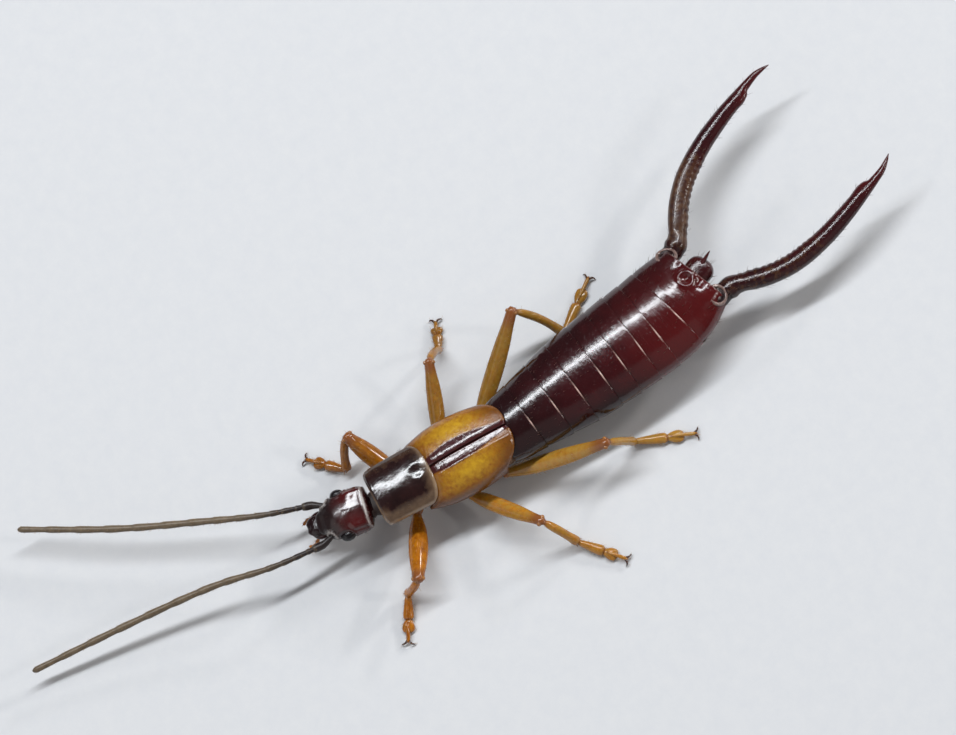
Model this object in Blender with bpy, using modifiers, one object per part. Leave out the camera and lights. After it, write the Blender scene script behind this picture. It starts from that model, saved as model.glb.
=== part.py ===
"""A life-size adult male earwig, standing still as a museum model.

The animal faces -Y with its back up and its left side towards +X. Each part of
the body is its own closed object. Sizes are metres, written as millimetres
times MM. The whole is moved at the end so that the middle of its bounding box
is above the origin and its feet stand on z = 0.
"""

import math

import bmesh
import bpy
from mathutils import Matrix, Vector

MM = 0.001

# Space left between neighbouring parts, small because the animal is small
GAP = 0.15 * MM
WELD_DISTANCE = 0.0001 * MM

# Heights of the body above the floor
HEAD_HEIGHT = 1.16 * MM
THORAX_HEIGHT = 1.12 * MM
ABDOMEN_HEIGHT = 1.22 * MM
TAIL_HEIGHT = 1.27 * MM

# Thorax, from the neck to the abdomen
THORAX_FRONT = -1.62 * MM
THORAX_REAR = 2.20 * MM

# Pronotum, the square shield behind the head
PRONOTUM_FRONT = -1.70 * MM
PRONOTUM_SIDE_REAR = -0.42 * MM
PRONOTUM_REAR_BULGE = 0.40 * MM
PRONOTUM_FRONT_HALF_WIDTH = 0.79 * MM
PRONOTUM_REAR_HALF_WIDTH = 0.85 * MM
PRONOTUM_EDGE_HEIGHT = 1.36 * MM
PRONOTUM_RISE = 0.47 * MM
PRONOTUM_THICKNESS = 0.20 * MM

# Tegmina, the two short wing cases
TEGMEN_REAR = 2.30 * MM
TEGMEN_THICKNESS = 0.20 * MM
TEGMEN_AXIS_HEIGHT = 1.25 * MM

# Head, measured forward from the neck
HEAD_YAW = math.radians(11)
HEAD_PITCH = math.radians(9)
NECK_HALF_WIDTH = 0.27 * MM
EYE_RADII = (0.17 * MM, 0.21 * MM, 0.18 * MM)
EYE_FORWARD = 0.84 * MM
EYE_ASIDE = 0.59 * MM
EYE_RISE = 0.06 * MM
ANTENNA_FORWARD = 1.56 * MM
ANTENNA_ASIDE = 0.56 * MM
ANTENNA_RISE = 0.02 * MM
MOUTH_FORWARD = 1.58 * MM

# Abdomen, measured back from the wing cases along its bent middle line
ABDOMEN_START = (-0.05 * MM, TEGMEN_REAR + GAP)
ABDOMEN_HEADING = math.radians(8)
TAIL_HEADING = math.radians(23)
TAIL_TURN_START = 3.9 * MM
TAIL_TURN_LENGTH = 1.9 * MM
SEGMENT_LENGTHS = [0.37, 0.755, 0.72, 0.735, 0.61, 0.62, 0.55, 0.65]
SEGMENT_STEP = 0.03 * MM
LAST_TERGITE_LENGTH = 1.15 * MM

# Forceps, measured back from the end of the last tergite
FORCEPS_LENGTH = 5.45 * MM

# Antennae
ANTENNA_RADIUS = 0.22 * MM
ANTENNA_TIP_RADIUS = 0.07 * MM
ANTENNA_SEGMENTS = 12

# Legs: the feet rest on the floor with flat soles
FEMUR_RADIUS = 0.25 * MM
HIND_FEMUR_RADIUS = 0.26 * MM
TIBIA_RADIUS = 0.21 * MM
TARSUS_RADIUS = 0.19 * MM
FEMUR_SAG = 0.12 * MM
CLAW_LENGTH = 0.26 * MM
CLAW_RADIUS = 0.06 * MM

# How square each part's cross-section is: 2 is an oval, higher is squarer
HEAD_SQUARENESS = 2.3
MOUTH_SQUARENESS = 2.6
PRONOTUM_SQUARENESS = 2.7
TEGMEN_SQUARENESS = 2.3
THORAX_SQUARENESS = 2.4
ABDOMEN_SQUARENESS = 2.15
PYGIDIUM_SQUARENESS = 2.5

BODY_SIDES = 28
LIMB_SIDES = 10
FLOOR_SIZE = 60 * MM
FLOOR_DEPTH = 2 * MM


def clear_scene():
    for item in list(bpy.data.objects):
        bpy.data.objects.remove(item, do_unlink=True)


def finish(name, colour, roughness):
    """A Principled material of one colour."""
    material = bpy.data.materials.new(name)
    material.use_nodes = True
    shader = material.node_tree.nodes["Principled BSDF"]
    shader.inputs["Base Color"].default_value = (*colour, 1)
    shader.inputs["Roughness"].default_value = roughness
    shader.inputs["Metallic"].default_value = 0
    return material


def curve_value(rows, position):
    """The row at a position, on a smooth curve through the rows given.

    Each row starts with its own position.
    """
    last = len(rows) - 1
    position = min(max(position, rows[0][0]), rows[last][0])
    index = 0
    while index < last - 1 and position > rows[index + 1][0]:
        index += 1
    span = rows[index + 1][0] - rows[index][0]
    t = (position - rows[index][0]) / span
    result = []
    for column in range(1, len(rows[0])):
        here = rows[index][column]
        there = rows[index + 1][column]
        slope_here = row_slope(rows, index, column) * span
        slope_there = row_slope(rows, index + 1, column) * span
        value = (2 * t**3 - 3 * t**2 + 1) * here + (t**3 - 2 * t**2 + t) * slope_here
        value += (3 * t**2 - 2 * t**3) * there + (t**3 - t**2) * slope_there
        result.append(value)
    return result


def row_slope(rows, index, column):
    before = rows[max(index - 1, 0)]
    after = rows[min(index + 1, len(rows) - 1)]
    return (after[column] - before[column]) / (after[0] - before[0])


def smooth_step(t):
    t = min(max(t, 0), 1)
    return t * t * (3 - 2 * t)


def signed_power(value, power):
    return math.copysign(abs(value) ** power, value)


def body_ring(centre, side, up, half_width, rise, drop, squareness):
    """One cross-section of the body, rounder or squarer with squareness."""
    points = []
    for index in range(BODY_SIDES):
        angle = 2 * math.pi * (index + 0.5) / BODY_SIDES
        across = half_width * signed_power(math.cos(angle), 2 / squareness)
        height = rise if math.sin(angle) > 0 else drop
        points.append(centre + side * across + up * height * signed_power(math.sin(angle), 2 / squareness))
    return points


def mesh_object(name, bm, material=None):
    """Makes an object whose faces point out, and empties the bmesh."""
    bmesh.ops.recalc_face_normals(bm, faces=bm.faces)
    mesh = bpy.data.meshes.new(name)
    bm.to_mesh(mesh)
    bm.free()
    item = bpy.data.objects.new(name, mesh)
    PARTS.objects.link(item)
    if material:
        mesh.materials.append(material)
    mesh.shade_smooth()
    mesh.set_sharp_from_angle(angle=math.radians(40))
    return item


def loft(name, rings, material=None):
    """A closed body through rings of equal count, with flat ends."""
    bm = bmesh.new()
    grid = [[bm.verts.new(point) for point in ring] for ring in rings]
    count = len(rings[0])
    for front, back in zip(grid, grid[1:]):
        for index in range(count):
            after = (index + 1) % count
            bm.faces.new((front[index], front[after], back[after], back[index]))
    bm.faces.new(grid[0])
    bm.faces.new(grid[-1])
    return mesh_object(name, bm, material)


def tube(name, points, radii, sides=LIMB_SIDES):
    """A closed round limb along points, made from a bevelled curve."""
    data = bpy.data.curves.new(name, "CURVE")
    data.dimensions = "3D"
    data.bevel_depth = 1
    data.bevel_resolution = sides // 2 - 2
    data.use_fill_caps = True
    spline = data.splines.new("POLY")
    spline.points.add(len(points) - 1)
    for point, place, radius in zip(spline.points, points, radii):
        point.co = (*place, 1)
        point.radius = radius
    guide = bpy.data.objects.new(name, data)
    PARTS.objects.link(guide)
    evaluated = guide.evaluated_get(bpy.context.evaluated_depsgraph_get())
    mesh = bpy.data.meshes.new_from_object(evaluated)
    bpy.data.objects.remove(guide, do_unlink=True)
    bm = bmesh.new()
    bm.from_mesh(mesh)
    bmesh.ops.remove_doubles(bm, verts=bm.verts, dist=WELD_DISTANCE)
    return mesh_object(name, bm)


def ball(name, centre, radii, turn=None, sides=14):
    bm = bmesh.new()
    bmesh.ops.create_uvsphere(bm, u_segments=sides, v_segments=sides // 2 + 1, radius=1)
    stretch = Matrix.Diagonal((*radii, 1))
    place = Matrix.Translation(centre) @ (turn.to_4x4() if turn else Matrix()) @ stretch
    bmesh.ops.transform(bm, matrix=place, verts=bm.verts)
    return mesh_object(name, bm)


def cutter(item):
    """Moves an object to the cutters and shows it as wire only."""
    PARTS.objects.unlink(item)
    CUTTERS.objects.link(item)
    item.hide_render = True
    item.display_type = "WIRE"
    return item


def cut(item, tool, name):
    difference = item.modifiers.new(name, "BOOLEAN")
    difference.operation = "DIFFERENCE"
    difference.object = tool
    difference.solver = "EXACT"


def floor_block():
    """What lies under the floor, which trims each foot to a flat sole."""
    bm = bmesh.new()
    bmesh.ops.create_cube(bm, size=1)
    size = Matrix.Diagonal((FLOOR_SIZE, FLOOR_SIZE, FLOOR_DEPTH, 1))
    below = Matrix.Translation((0, 0, -FLOOR_DEPTH / 2))
    bmesh.ops.transform(bm, matrix=below @ size, verts=bm.verts)
    return cutter(mesh_object("floor_cutter", bm))


def fuse(name, pieces, material):
    """Joins closed pieces into one body and keeps its largest surface."""
    group = bpy.data.collections.new(name + "_pieces")
    bpy.context.scene.collection.children.link(group)
    first = pieces[0]
    for piece in pieces[1:]:
        PARTS.objects.unlink(piece)
        group.objects.link(piece)
    union = first.modifiers.new("Union", "BOOLEAN")
    union.operation = "UNION"
    union.operand_type = "COLLECTION"
    union.collection = group
    union.solver = "EXACT"
    evaluated = first.evaluated_get(bpy.context.evaluated_depsgraph_get())
    mesh = bpy.data.meshes.new_from_object(evaluated)
    for piece in pieces:
        bpy.data.objects.remove(piece, do_unlink=True)
    bpy.data.collections.remove(group)
    bm = bmesh.new()
    bm.from_mesh(mesh)
    keep_largest_surface(bm)
    return mesh_object(name, bm, material)


def keep_largest_surface(bm):
    remaining = set(bm.verts)
    largest = set()
    while remaining:
        island = {remaining.pop()}
        edge_of_search = list(island)
        while edge_of_search:
            vertex = edge_of_search.pop()
            for edge in vertex.link_edges:
                other = edge.other_vert(vertex)
                if other not in island:
                    island.add(other)
                    edge_of_search.append(other)
        remaining -= island
        if len(island) > len(largest):
            largest = island
    scrap = [vertex for vertex in bm.verts if vertex not in largest]
    bmesh.ops.delete(bm, geom=scrap, context="VERTS")


def straight_frame(x, y, z):
    return Vector((x, y, z)), Vector((1, 0, 0)), Vector((0, 0, 1))


def head_point(forward, aside, up):
    """A place on the head, turned with it about the neck."""
    clearance = GAP + NECK_HALF_WIDTH * math.sin(HEAD_YAW)
    neck = Vector((0, THORAX_FRONT - clearance, HEAD_HEIGHT))
    return neck + head_turn() @ Vector((aside, -forward, up))


def head_turn():
    return Matrix.Rotation(-HEAD_YAW, 3, "Z") @ Matrix.Rotation(HEAD_PITCH, 3, "X")


# Forward, half width, height above and depth below the head's middle line
HEAD_ROWS = [
    (0.00, 0.27, 0.15, 0.15),
    (0.13, 0.29, 0.17, 0.16),
    (0.22, 0.55, 0.27, 0.22),
    (0.42, 0.63, 0.34, 0.27),
    (0.84, 0.62, 0.37, 0.30),
    (1.12, 0.53, 0.33, 0.28),
    (1.43, 0.35, 0.17, 0.20),
]


def head(material):
    forwards = [0, 0.06, 0.13, 0.17, 0.22, 0.31, 0.42, 0.56, 0.7, 0.84, 0.98, 1.12, 1.24, 1.35, 1.43]
    rings = []
    for forward in forwards:
        half_width, rise, drop = curve_value(HEAD_ROWS, forward)
        centre = head_point(forward * MM, 0, 0)
        side = head_turn() @ Vector((1, 0, 0))
        up = head_turn() @ Vector((0, 0, 1))
        sizes = (half_width * MM, rise * MM, drop * MM)
        rings.append(body_ring(centre, side, up, *sizes, HEAD_SQUARENESS))
    return loft("head", rings, material)


def eye(side_name, side, head_body, material):
    """An oval eye, and its socket in the head, wider by the gap."""
    centre = head_point(EYE_FORWARD, side * EYE_ASIDE, EYE_RISE)
    socket_radii = [radius + GAP for radius in EYE_RADII]
    socket = ball("eye_socket_" + side_name, centre, socket_radii, head_turn())
    cut(head_body, cutter(socket), "Eye socket " + side_name)
    item = ball("eye_" + side_name, centre, EYE_RADII, head_turn())
    item.data.materials.append(material)


# Forward, half width, height above and depth below, of the lips and jaws together
LIP_ROWS = [
    (0.00, 0.28, 0.12, 0.14),
    (0.14, 0.27, 0.10, 0.15),
    (0.25, 0.20, 0.06, 0.13),
    (0.31, 0.10, 0.02, 0.10),
]

# Forward, aside and up, and the radius there, of each feeler of the mouth
PALP_ROWS = [
    (0.06, 0.14, -0.08, 0.10),
    (0.16, 0.28, -0.24, 0.10),
    (0.34, 0.36, -0.42, 0.10),
    (0.50, 0.30, -0.56, 0.05),
]


def mouthparts(material):
    """Upper lip, jaws and the two feelers of the mouth."""
    lip_rings = []
    for forward, half_width, rise, drop in LIP_ROWS:
        centre = head_point(MOUTH_FORWARD + forward * MM, 0, -0.02 * MM)
        side = head_turn() @ Vector((1, 0, 0))
        up = head_turn() @ Vector((0, 0, 1))
        sizes = (half_width * MM, rise * MM, drop * MM)
        lip_rings.append(body_ring(centre, side, up, *sizes, MOUTH_SQUARENESS))
    pieces = [loft("lip", lip_rings)]
    for side in (-1, 1):
        points = []
        radii = []
        for forward, aside, up, radius in PALP_ROWS:
            points.append(head_point(MOUTH_FORWARD + forward * MM, side * aside * MM, up * MM))
            radii.append(radius * MM)
        pieces.append(tube("palp", points, radii, 8))
    return fuse("mouthparts", pieces, material)


# Points along each feeler, beyond its root on the head
ANTENNA_GUIDES = {
    "left": [(0.20, -4.90, 1.20), (-0.17, -6.60, 1.05), (-0.42, -9.00, 0.82), (-0.61, -11.80, 0.60)],
    "right": [(-1.18, -4.50, 1.20), (-1.85, -6.00, 1.10), (-2.85, -8.10, 0.95), (-4.20, -10.45, 0.75)],
}


def antenna(side_name, side, material):
    """A long feeler of many short segments, each a little club-shaped."""
    guide_points = [head_point(ANTENNA_FORWARD, side * ANTENNA_ASIDE, ANTENNA_RISE)]
    guide_points += [Vector(point) * MM for point in ANTENNA_GUIDES[side_name]]
    rows = [(index, *point) for index, point in enumerate(guide_points)]
    stations = ANTENNA_SEGMENTS * 3
    points = []
    radii = []
    for index in range(stations + 1):
        along = index / stations
        points.append(Vector(curve_value(rows, along * (len(rows) - 1))))
        taper = 1 - smooth_step((along - 0.55) / 0.45)
        radius = ANTENNA_TIP_RADIUS + (ANTENNA_RADIUS - ANTENNA_TIP_RADIUS) * taper
        swelling = 1.0 if index % 3 else 0.86
        radii.append(radius * swelling)
    radii[-1] *= 0.6
    item = tube("antenna_" + side_name, points, radii, 8)
    item.data.materials.append(material)


def arched_shell(name, edge_angles, rows, thickness, front_edge, rear_edge, flatness, material):
    """A thin arched cover, thickened inwards.

    Each row holds a share of the length, the half width, the height of the
    arch's springing line and its rise.
    """
    steps_along = 9
    steps_across = 13
    bm = bmesh.new()
    grid = []
    for row in range(steps_along + 1):
        share = row / steps_along
        half_width, base, rise = curve_value(rows, share)
        line = []
        for column in range(steps_across + 1):
            angle = edge_angles[0] + (edge_angles[1] - edge_angles[0]) * column / steps_across
            x = half_width * signed_power(math.cos(angle), 2 / flatness)
            z = base + rise * signed_power(math.sin(angle), 2 / flatness)
            y = front_edge(angle) + share * (rear_edge(angle) - front_edge(angle))
            line.append(bm.verts.new((x, y, z)))
        grid.append(line)
    for front, back in zip(grid, grid[1:]):
        for index in range(steps_across):
            bm.faces.new((front[index], back[index], back[index + 1], front[index + 1]))
    item = mesh_object(name, bm, material)
    if item.data.polygons[0].normal.z < 0:
        item.data.flip_normals()
    solid = item.modifiers.new("Thickness", "SOLIDIFY")
    solid.thickness = thickness
    solid.offset = -1
    return item


def pronotum_rear_edge(angle):
    return PRONOTUM_SIDE_REAR + PRONOTUM_REAR_BULGE * max(math.sin(angle), 0) ** 0.8


def pronotum(material):
    def front_edge(angle):
        return PRONOTUM_FRONT + 0.10 * MM * abs(math.cos(angle)) ** 8

    rows = [
        (0.0, PRONOTUM_FRONT_HALF_WIDTH, PRONOTUM_EDGE_HEIGHT, PRONOTUM_RISE * 0.90),
        (0.5, PRONOTUM_REAR_HALF_WIDTH * 0.98, PRONOTUM_EDGE_HEIGHT, PRONOTUM_RISE),
        (1.0, PRONOTUM_REAR_HALF_WIDTH, PRONOTUM_EDGE_HEIGHT, PRONOTUM_RISE * 0.97),
    ]
    edge = math.radians(5)
    return arched_shell("pronotum", (edge, math.pi - edge), rows, PRONOTUM_THICKNESS,
                        front_edge, pronotum_rear_edge, PRONOTUM_SQUARENESS, material)


def tegmen(side_name, side, material):
    def front_edge(angle):
        return pronotum_rear_edge(angle) + GAP

    def rear_edge(angle):
        return TEGMEN_REAR - 0.30 * MM * max(math.cos(angle), 0) ** 5

    rows = [
        (0.0, side * 0.92 * MM, TEGMEN_AXIS_HEIGHT, 0.58 * MM),
        (0.35, side * 1.07 * MM, TEGMEN_AXIS_HEIGHT, 0.68 * MM),
        (0.7, side * 1.08 * MM, TEGMEN_AXIS_HEIGHT, 0.70 * MM),
        (1.0, side * 0.98 * MM, TEGMEN_AXIS_HEIGHT, 0.67 * MM),
    ]
    lower_edge = math.radians(-8)
    seam = math.radians(90) - math.radians(2.6)
    return arched_shell("tegmen_" + side_name, (lower_edge, seam), rows, TEGMEN_THICKNESS,
                        front_edge, rear_edge, TEGMEN_SQUARENESS, material)


# Distance back, half width, height above and depth below the thorax's middle
THORAX_ROWS = [
    (-1.62, 0.30, 0.16, 0.16),
    (-1.30, 0.46, 0.17, 0.28),
    (-0.80, 0.56, 0.19, 0.34),
    (-0.20, 0.50, 0.20, 0.28),
    (0.35, 0.66, 0.38, 0.36),
    (0.85, 0.60, 0.42, 0.32),
    (1.40, 0.68, 0.42, 0.36),
    (2.20, 0.66, 0.40, 0.34),
]


def thorax(material):
    rings = []
    steps = 20
    for step in range(steps + 1):
        y = THORAX_FRONT + (THORAX_REAR - THORAX_FRONT) * step / steps
        half_width, rise, drop = curve_value(THORAX_ROWS, y / MM)
        centre, side, up = straight_frame(0, y, THORAX_HEIGHT)
        sizes = (half_width * MM, rise * MM, drop * MM)
        rings.append(body_ring(centre, side, up, *sizes, THORAX_SQUARENESS))
    return loft("thorax", rings, material)


def abdomen_heading(distance):
    turn = smooth_step((distance - TAIL_TURN_START) / TAIL_TURN_LENGTH)
    return ABDOMEN_HEADING + (TAIL_HEADING - ABDOMEN_HEADING) * turn


def abdomen_frame(distance):
    """Centre, side and up of the abdomen, found by walking its bent line."""
    steps = 60
    x, y = ABDOMEN_START
    for step in range(steps):
        heading = abdomen_heading(distance * (step + 0.5) / steps)
        x -= math.sin(heading) * distance / steps
        y += math.cos(heading) * distance / steps
    heading = abdomen_heading(distance)
    rise = (TAIL_HEIGHT - ABDOMEN_HEIGHT) * distance / abdomen_length()
    side = Vector((math.cos(heading), math.sin(heading), 0))
    return Vector((x, y, ABDOMEN_HEIGHT + rise)), side, Vector((0, 0, 1))


def segments_length():
    return sum(SEGMENT_LENGTHS) * MM


def abdomen_length():
    return segments_length() + LAST_TERGITE_LENGTH


# Distance back, half width, height above and depth below the middle line
ABDOMEN_ROWS = [
    (0.00, 0.96, 0.62, 0.60),
    (1.00, 1.12, 0.67, 0.64),
    (2.00, 1.27, 0.71, 0.66),
    (3.20, 1.34, 0.73, 0.66),
    (4.60, 1.36, 0.71, 0.62),
    (5.40, 1.29, 0.66, 0.57),
    (6.16, 1.10, 0.56, 0.50),
]


def abdomen_ring(distance, inset):
    half_width, rise, drop = curve_value(ABDOMEN_ROWS, distance / MM)
    centre, side, up = abdomen_frame(distance)
    sizes = (half_width * MM - inset, rise * MM - inset, drop * MM - inset)
    return body_ring(centre, side, up, *sizes, ABDOMEN_SQUARENESS)


def abdomen(material):
    """Ring after ring, each a little wider at its hind edge than the next."""
    rings = []
    start = 0
    for length in SEGMENT_LENGTHS:
        for share in (0, 0.35, 0.8, 1.0):
            inset = SEGMENT_STEP * (1 - smooth_step(share / 0.7))
            if share == 1.0:
                inset = SEGMENT_STEP * 0.15
            rings.append(abdomen_ring(start + length * share * MM, inset))
        start += length * MM
    return loft("abdomen", rings, material)


def tail_point(back, aside, up):
    """A place behind the last tergite, in the tail's own directions."""
    centre, side, upward = abdomen_frame(abdomen_length() + GAP)
    backward = Vector((-side.y, side.x, 0))
    return centre + backward * back + side * aside + upward * up


def last_tergite(material):
    """The large end plate with the round knobs that carry the forceps."""
    start = segments_length() + GAP
    rings = []
    steps = 7
    for step in range(steps + 1):
        share = step / steps
        distance = start + (abdomen_length() - start) * share
        inset = SEGMENT_STEP * (1 - smooth_step(share * 3)) + 0.10 * MM * smooth_step(share * 6 - 5)
        rings.append(abdomen_ring(distance, inset))
    pieces = [loft("tergite", rings)]
    for side in (-1, 1):
        pieces.append(ball("knob", tail_point(-0.36 * MM, side * 0.78 * MM, 0.26 * MM),
                           (0.26 * MM, 0.26 * MM, 0.24 * MM), None, 12))
        pieces.append(ball("inner_knob", tail_point(-0.34 * MM, side * 0.20 * MM, 0.44 * MM),
                           (0.17 * MM, 0.17 * MM, 0.13 * MM), None, 10))
    return fuse("last_tergite", pieces, material)


# Distance back, half width, height above and depth below, of the small plate
PYGIDIUM_ROWS = [
    (0.00, 0.38, 0.26, 0.26),
    (0.12, 0.37, 0.27, 0.25),
    (0.26, 0.28, 0.22, 0.19),
    (0.34, 0.16, 0.12, 0.10),
]

# Distance back, height and radius of its spine
SPINE_ROWS = [
    (0.12, 0.16, 0.13),
    (0.30, 0.34, 0.10),
    (0.52, 0.48, 0.02),
]


def pygidium(material):
    """The small plate between the forceps, with its short upturned spine."""
    rings = []
    for back, half_width, rise, drop in PYGIDIUM_ROWS:
        centre = tail_point(back * MM, 0, 0.06 * MM)
        _, side, up = abdomen_frame(abdomen_length())
        sizes = (half_width * MM, rise * MM, drop * MM)
        rings.append(body_ring(centre, side, up, *sizes, PYGIDIUM_SQUARENESS))
    plate = loft("plate", rings)
    spine_points = [tail_point(back * MM, 0, rise * MM) for back, rise, _ in SPINE_ROWS]
    spine = tube("spine", spine_points, [radius * MM for _, _, radius in SPINE_ROWS], 8)
    return fuse("pygidium", [plate, spine], material)


# Share of the length, sideways reach, height and radius of a forceps arm
FORCEPS_ROWS = [
    (0.00, 0.88, 0.00, 0.27),
    (0.05, 0.98, 0.01, 0.28),
    (0.10, 1.18, 0.02, 0.27),
    (0.20, 1.58, 0.05, 0.26),
    (0.33, 1.90, 0.09, 0.25),
    (0.50, 2.08, 0.14, 0.24),
    (0.65, 2.13, 0.18, 0.22),
    (0.76, 2.135, 0.205, 0.19),
    (0.82, 2.155, 0.215, 0.15),
    (0.88, 2.16, 0.23, 0.12),
    (0.94, 2.13, 0.245, 0.08),
    (1.00, 2.02, 0.26, 0.03),
]
FORCEPS_TOOTH_SHARE = 0.80


def forceps(side_name, side, material):
    points = []
    radii = []
    steps = 22
    for step in range(steps + 1):
        share = step / steps
        aside, rise, radius = curve_value(FORCEPS_ROWS, share)
        points.append(tail_point(share * FORCEPS_LENGTH, side * aside * MM, rise * MM))
        radii.append(radius * MM)
    arm = tube("arm", points, radii, 12)
    aside, rise, radius = curve_value(FORCEPS_ROWS, FORCEPS_TOOTH_SHARE)
    back = FORCEPS_TOOTH_SHARE * FORCEPS_LENGTH
    tooth_points = [
        tail_point(back - 0.16 * MM, side * (aside - 0.06) * MM, rise * MM),
        tail_point(back, side * (aside - radius * 0.95) * MM, rise * MM),
        tail_point(back + 0.12 * MM, side * (aside - radius - 0.09) * MM, rise * MM),
    ]
    tooth = tube("tooth", tooth_points, [0.12 * MM, 0.09 * MM, 0.02 * MM], 8)
    return fuse("forceps_" + side_name, [arm, tooth], material)


# Where each leg's coxa, knee, ankle and claws are, seen from above, and the
# knee's height. Sideways distances are positive towards the left of the animal.
LEGS = {
    "leg_front_left": {"hip": (0.36, -0.80), "hip_end": (0.66, -0.95), "knee": (2.38, -1.68, 1.15),
                       "ankle": (2.31, -2.12), "toe": (3.36, -2.67)},
    "leg_front_right": {"hip": (-0.36, -0.80), "hip_end": (-0.64, -0.92), "knee": (-1.99, -1.59, 1.20),
                        "ankle": (-1.45, -2.02), "toe": (-2.22, -2.80)},
    "leg_middle_left": {"hip": (0.42, 0.35), "hip_end": (0.76, 0.50), "knee": (2.58, 1.88, 1.15),
                        "ankle": (3.28, 2.43), "toe": (4.22, 3.28)},
    "leg_middle_right": {"hip": (-0.42, 0.35), "hip_end": (-0.76, 0.48), "knee": (-2.69, 1.26, 1.25),
                         "ankle": (-3.16, 1.61), "toe": (-3.86, 1.86)},
    "leg_hind_left": {"hip": (0.44, 1.40), "hip_end": (0.78, 1.62), "knee": (1.71, 4.33, 1.72),
                      "ankle": (1.62, 4.97), "toe": (2.16, 6.40)},
    "leg_hind_right": {"hip": (-0.44, 1.40), "hip_end": (-0.76, 1.58), "knee": (-2.71, 3.81, 1.60),
                       "ankle": (-1.90, 4.72), "toe": (-2.88, 5.90)},
}
HIP_HEIGHT = 0.42 * MM
HIP_END_HEIGHT = 0.50 * MM
ANKLE_HEIGHT = 0.24 * MM
TARSUS_HEIGHT = 0.15 * MM


def place(sizes, height):
    return Vector((sizes[0] * MM, sizes[1] * MM, height))


def leg(name, layout, femur_radius, floor, material):
    """One leg, from the coxa under the body to the two claws."""
    hip = place(layout["hip"], HIP_HEIGHT)
    hip_end = place(layout["hip_end"], HIP_END_HEIGHT)
    knee = place(layout["knee"], layout["knee"][2] * MM)
    ankle = place(layout["ankle"], ANKLE_HEIGHT)
    toe = place(layout["toe"], TARSUS_HEIGHT)

    coxa_points = [hip, hip.lerp(hip_end, 0.5), hip.lerp(hip_end, 1.12)]
    coxa = tube("coxa", coxa_points, [0.17 * MM, 0.20 * MM, 0.16 * MM])
    femur_shares = [0, 0.12, 0.3, 0.55, 0.8, 1.0]
    femur_sizes = [0.60, 0.76, 0.98, 1.0, 0.86, 0.66]
    sag = Vector((0, 0, FEMUR_SAG))
    femur_points = [hip_end.lerp(knee, share) - sag * math.sin(math.pi * share) for share in femur_shares]
    femur = tube("femur", femur_points, [femur_radius * size for size in femur_sizes])
    tibia_shares = [-0.08, 0.1, 0.5, 0.9, 1.03]
    tibia_sizes = [0.78, 1.0, 0.96, 1.0, 0.80]
    tibia = tube("tibia", [knee.lerp(ankle, share) for share in tibia_shares],
                 [TIBIA_RADIUS * size for size in tibia_sizes])

    tarsus_start = place(layout["ankle"], TARSUS_HEIGHT)
    tarsus_shares = [-0.12, 0.05, 0.35, 0.50, 0.56, 0.64, 0.70, 0.76, 0.90, 1.0]
    tarsus_sizes = [0.66, 0.95, 0.98, 0.94, 0.74, 1.05, 0.78, 0.92, 0.92, 0.50]
    tarsus = tube("tarsus", [tarsus_start.lerp(toe, share) for share in tarsus_shares],
                  [TARSUS_RADIUS * size for size in tarsus_sizes])
    pieces = [femur, coxa, tibia, tarsus]
    onward = (toe - tarsus_start).normalized()
    aside = Vector((onward.y, -onward.x, 0))
    claw_height = Vector((0, 0, CLAW_RADIUS - TARSUS_HEIGHT))
    for side in (-1, 1):
        root = toe - onward * 0.08 * MM + aside * side * CLAW_RADIUS * 0.7 + claw_height
        bend = root + onward * CLAW_LENGTH * 0.6 + aside * side * CLAW_LENGTH * 0.2
        tip = root + onward * CLAW_LENGTH + aside * side * CLAW_LENGTH * 0.7
        pieces.append(tube("claw", [root, bend, tip], [CLAW_RADIUS, CLAW_RADIUS * 0.8, CLAW_RADIUS * 0.3], 6))
    item = fuse(name, pieces, material)
    cut(item, floor, "Flat soles")


def centre_over_origin():
    """Moves the whole animal so that its box stands centred on the origin."""
    graph = bpy.context.evaluated_depsgraph_get()
    corners = []
    for item in PARTS.objects:
        box = item.evaluated_get(graph).bound_box
        corners.extend(item.matrix_world @ Vector(corner) for corner in box)
    low = Vector([min(corner[axis] for corner in corners) for axis in range(3)])
    high = Vector([max(corner[axis] for corner in corners) for axis in range(3)])
    shift = Vector((-(low.x + high.x) / 2, -(low.y + high.y) / 2, -low.z))
    for item in [*PARTS.objects, *CUTTERS.objects]:
        item.location += shift


clear_scene()
PARTS = bpy.data.collections.new("earwig")
CUTTERS = bpy.data.collections.new("cutters")
bpy.context.scene.collection.children.link(PARTS)
bpy.context.scene.collection.children.link(CUTTERS)

mahogany = finish("dark mahogany shell", (0.055, 0.010, 0.008), 0.2)
black_brown = finish("black-brown shield", (0.020, 0.009, 0.007), 0.2)
ochre = finish("yellow ochre wing case", (0.33, 0.16, 0.028), 0.3)
amber = finish("amber leg", (0.38, 0.17, 0.030), 0.3)
tan = finish("tan feeler", (0.16, 0.10, 0.055), 0.45)
eye_black = finish("black eye", (0.010, 0.008, 0.008), 0.15)

head_body = head(mahogany)
mouthparts(amber)
for side_name, side in (("left", 1), ("right", -1)):
    eye(side_name, side, head_body, eye_black)
    antenna(side_name, side, tan)
    tegmen(side_name, side, ochre)
    forceps(side_name, side, mahogany)
pronotum(black_brown)
thorax(amber)
abdomen(mahogany)
last_tergite(mahogany)
pygidium(mahogany)
floor = floor_block()
for leg_name, layout in LEGS.items():
    radius = HIND_FEMUR_RADIUS if "hind" in leg_name else FEMUR_RADIUS
    leg(leg_name, layout, radius, floor, amber)


centre_over_origin()
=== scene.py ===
"""The looks of a life-size male earwig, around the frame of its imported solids.

Every length is in millimetres, in the frame that the animal was laid out in:
head towards -Y, back up, its left side towards +X. make_piece turns them into
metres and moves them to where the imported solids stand.
"""

import random
from bisect import bisect_left
from itertools import accumulate
from math import asin, atan2, cos, exp, hypot, pi, radians, sin

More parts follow.
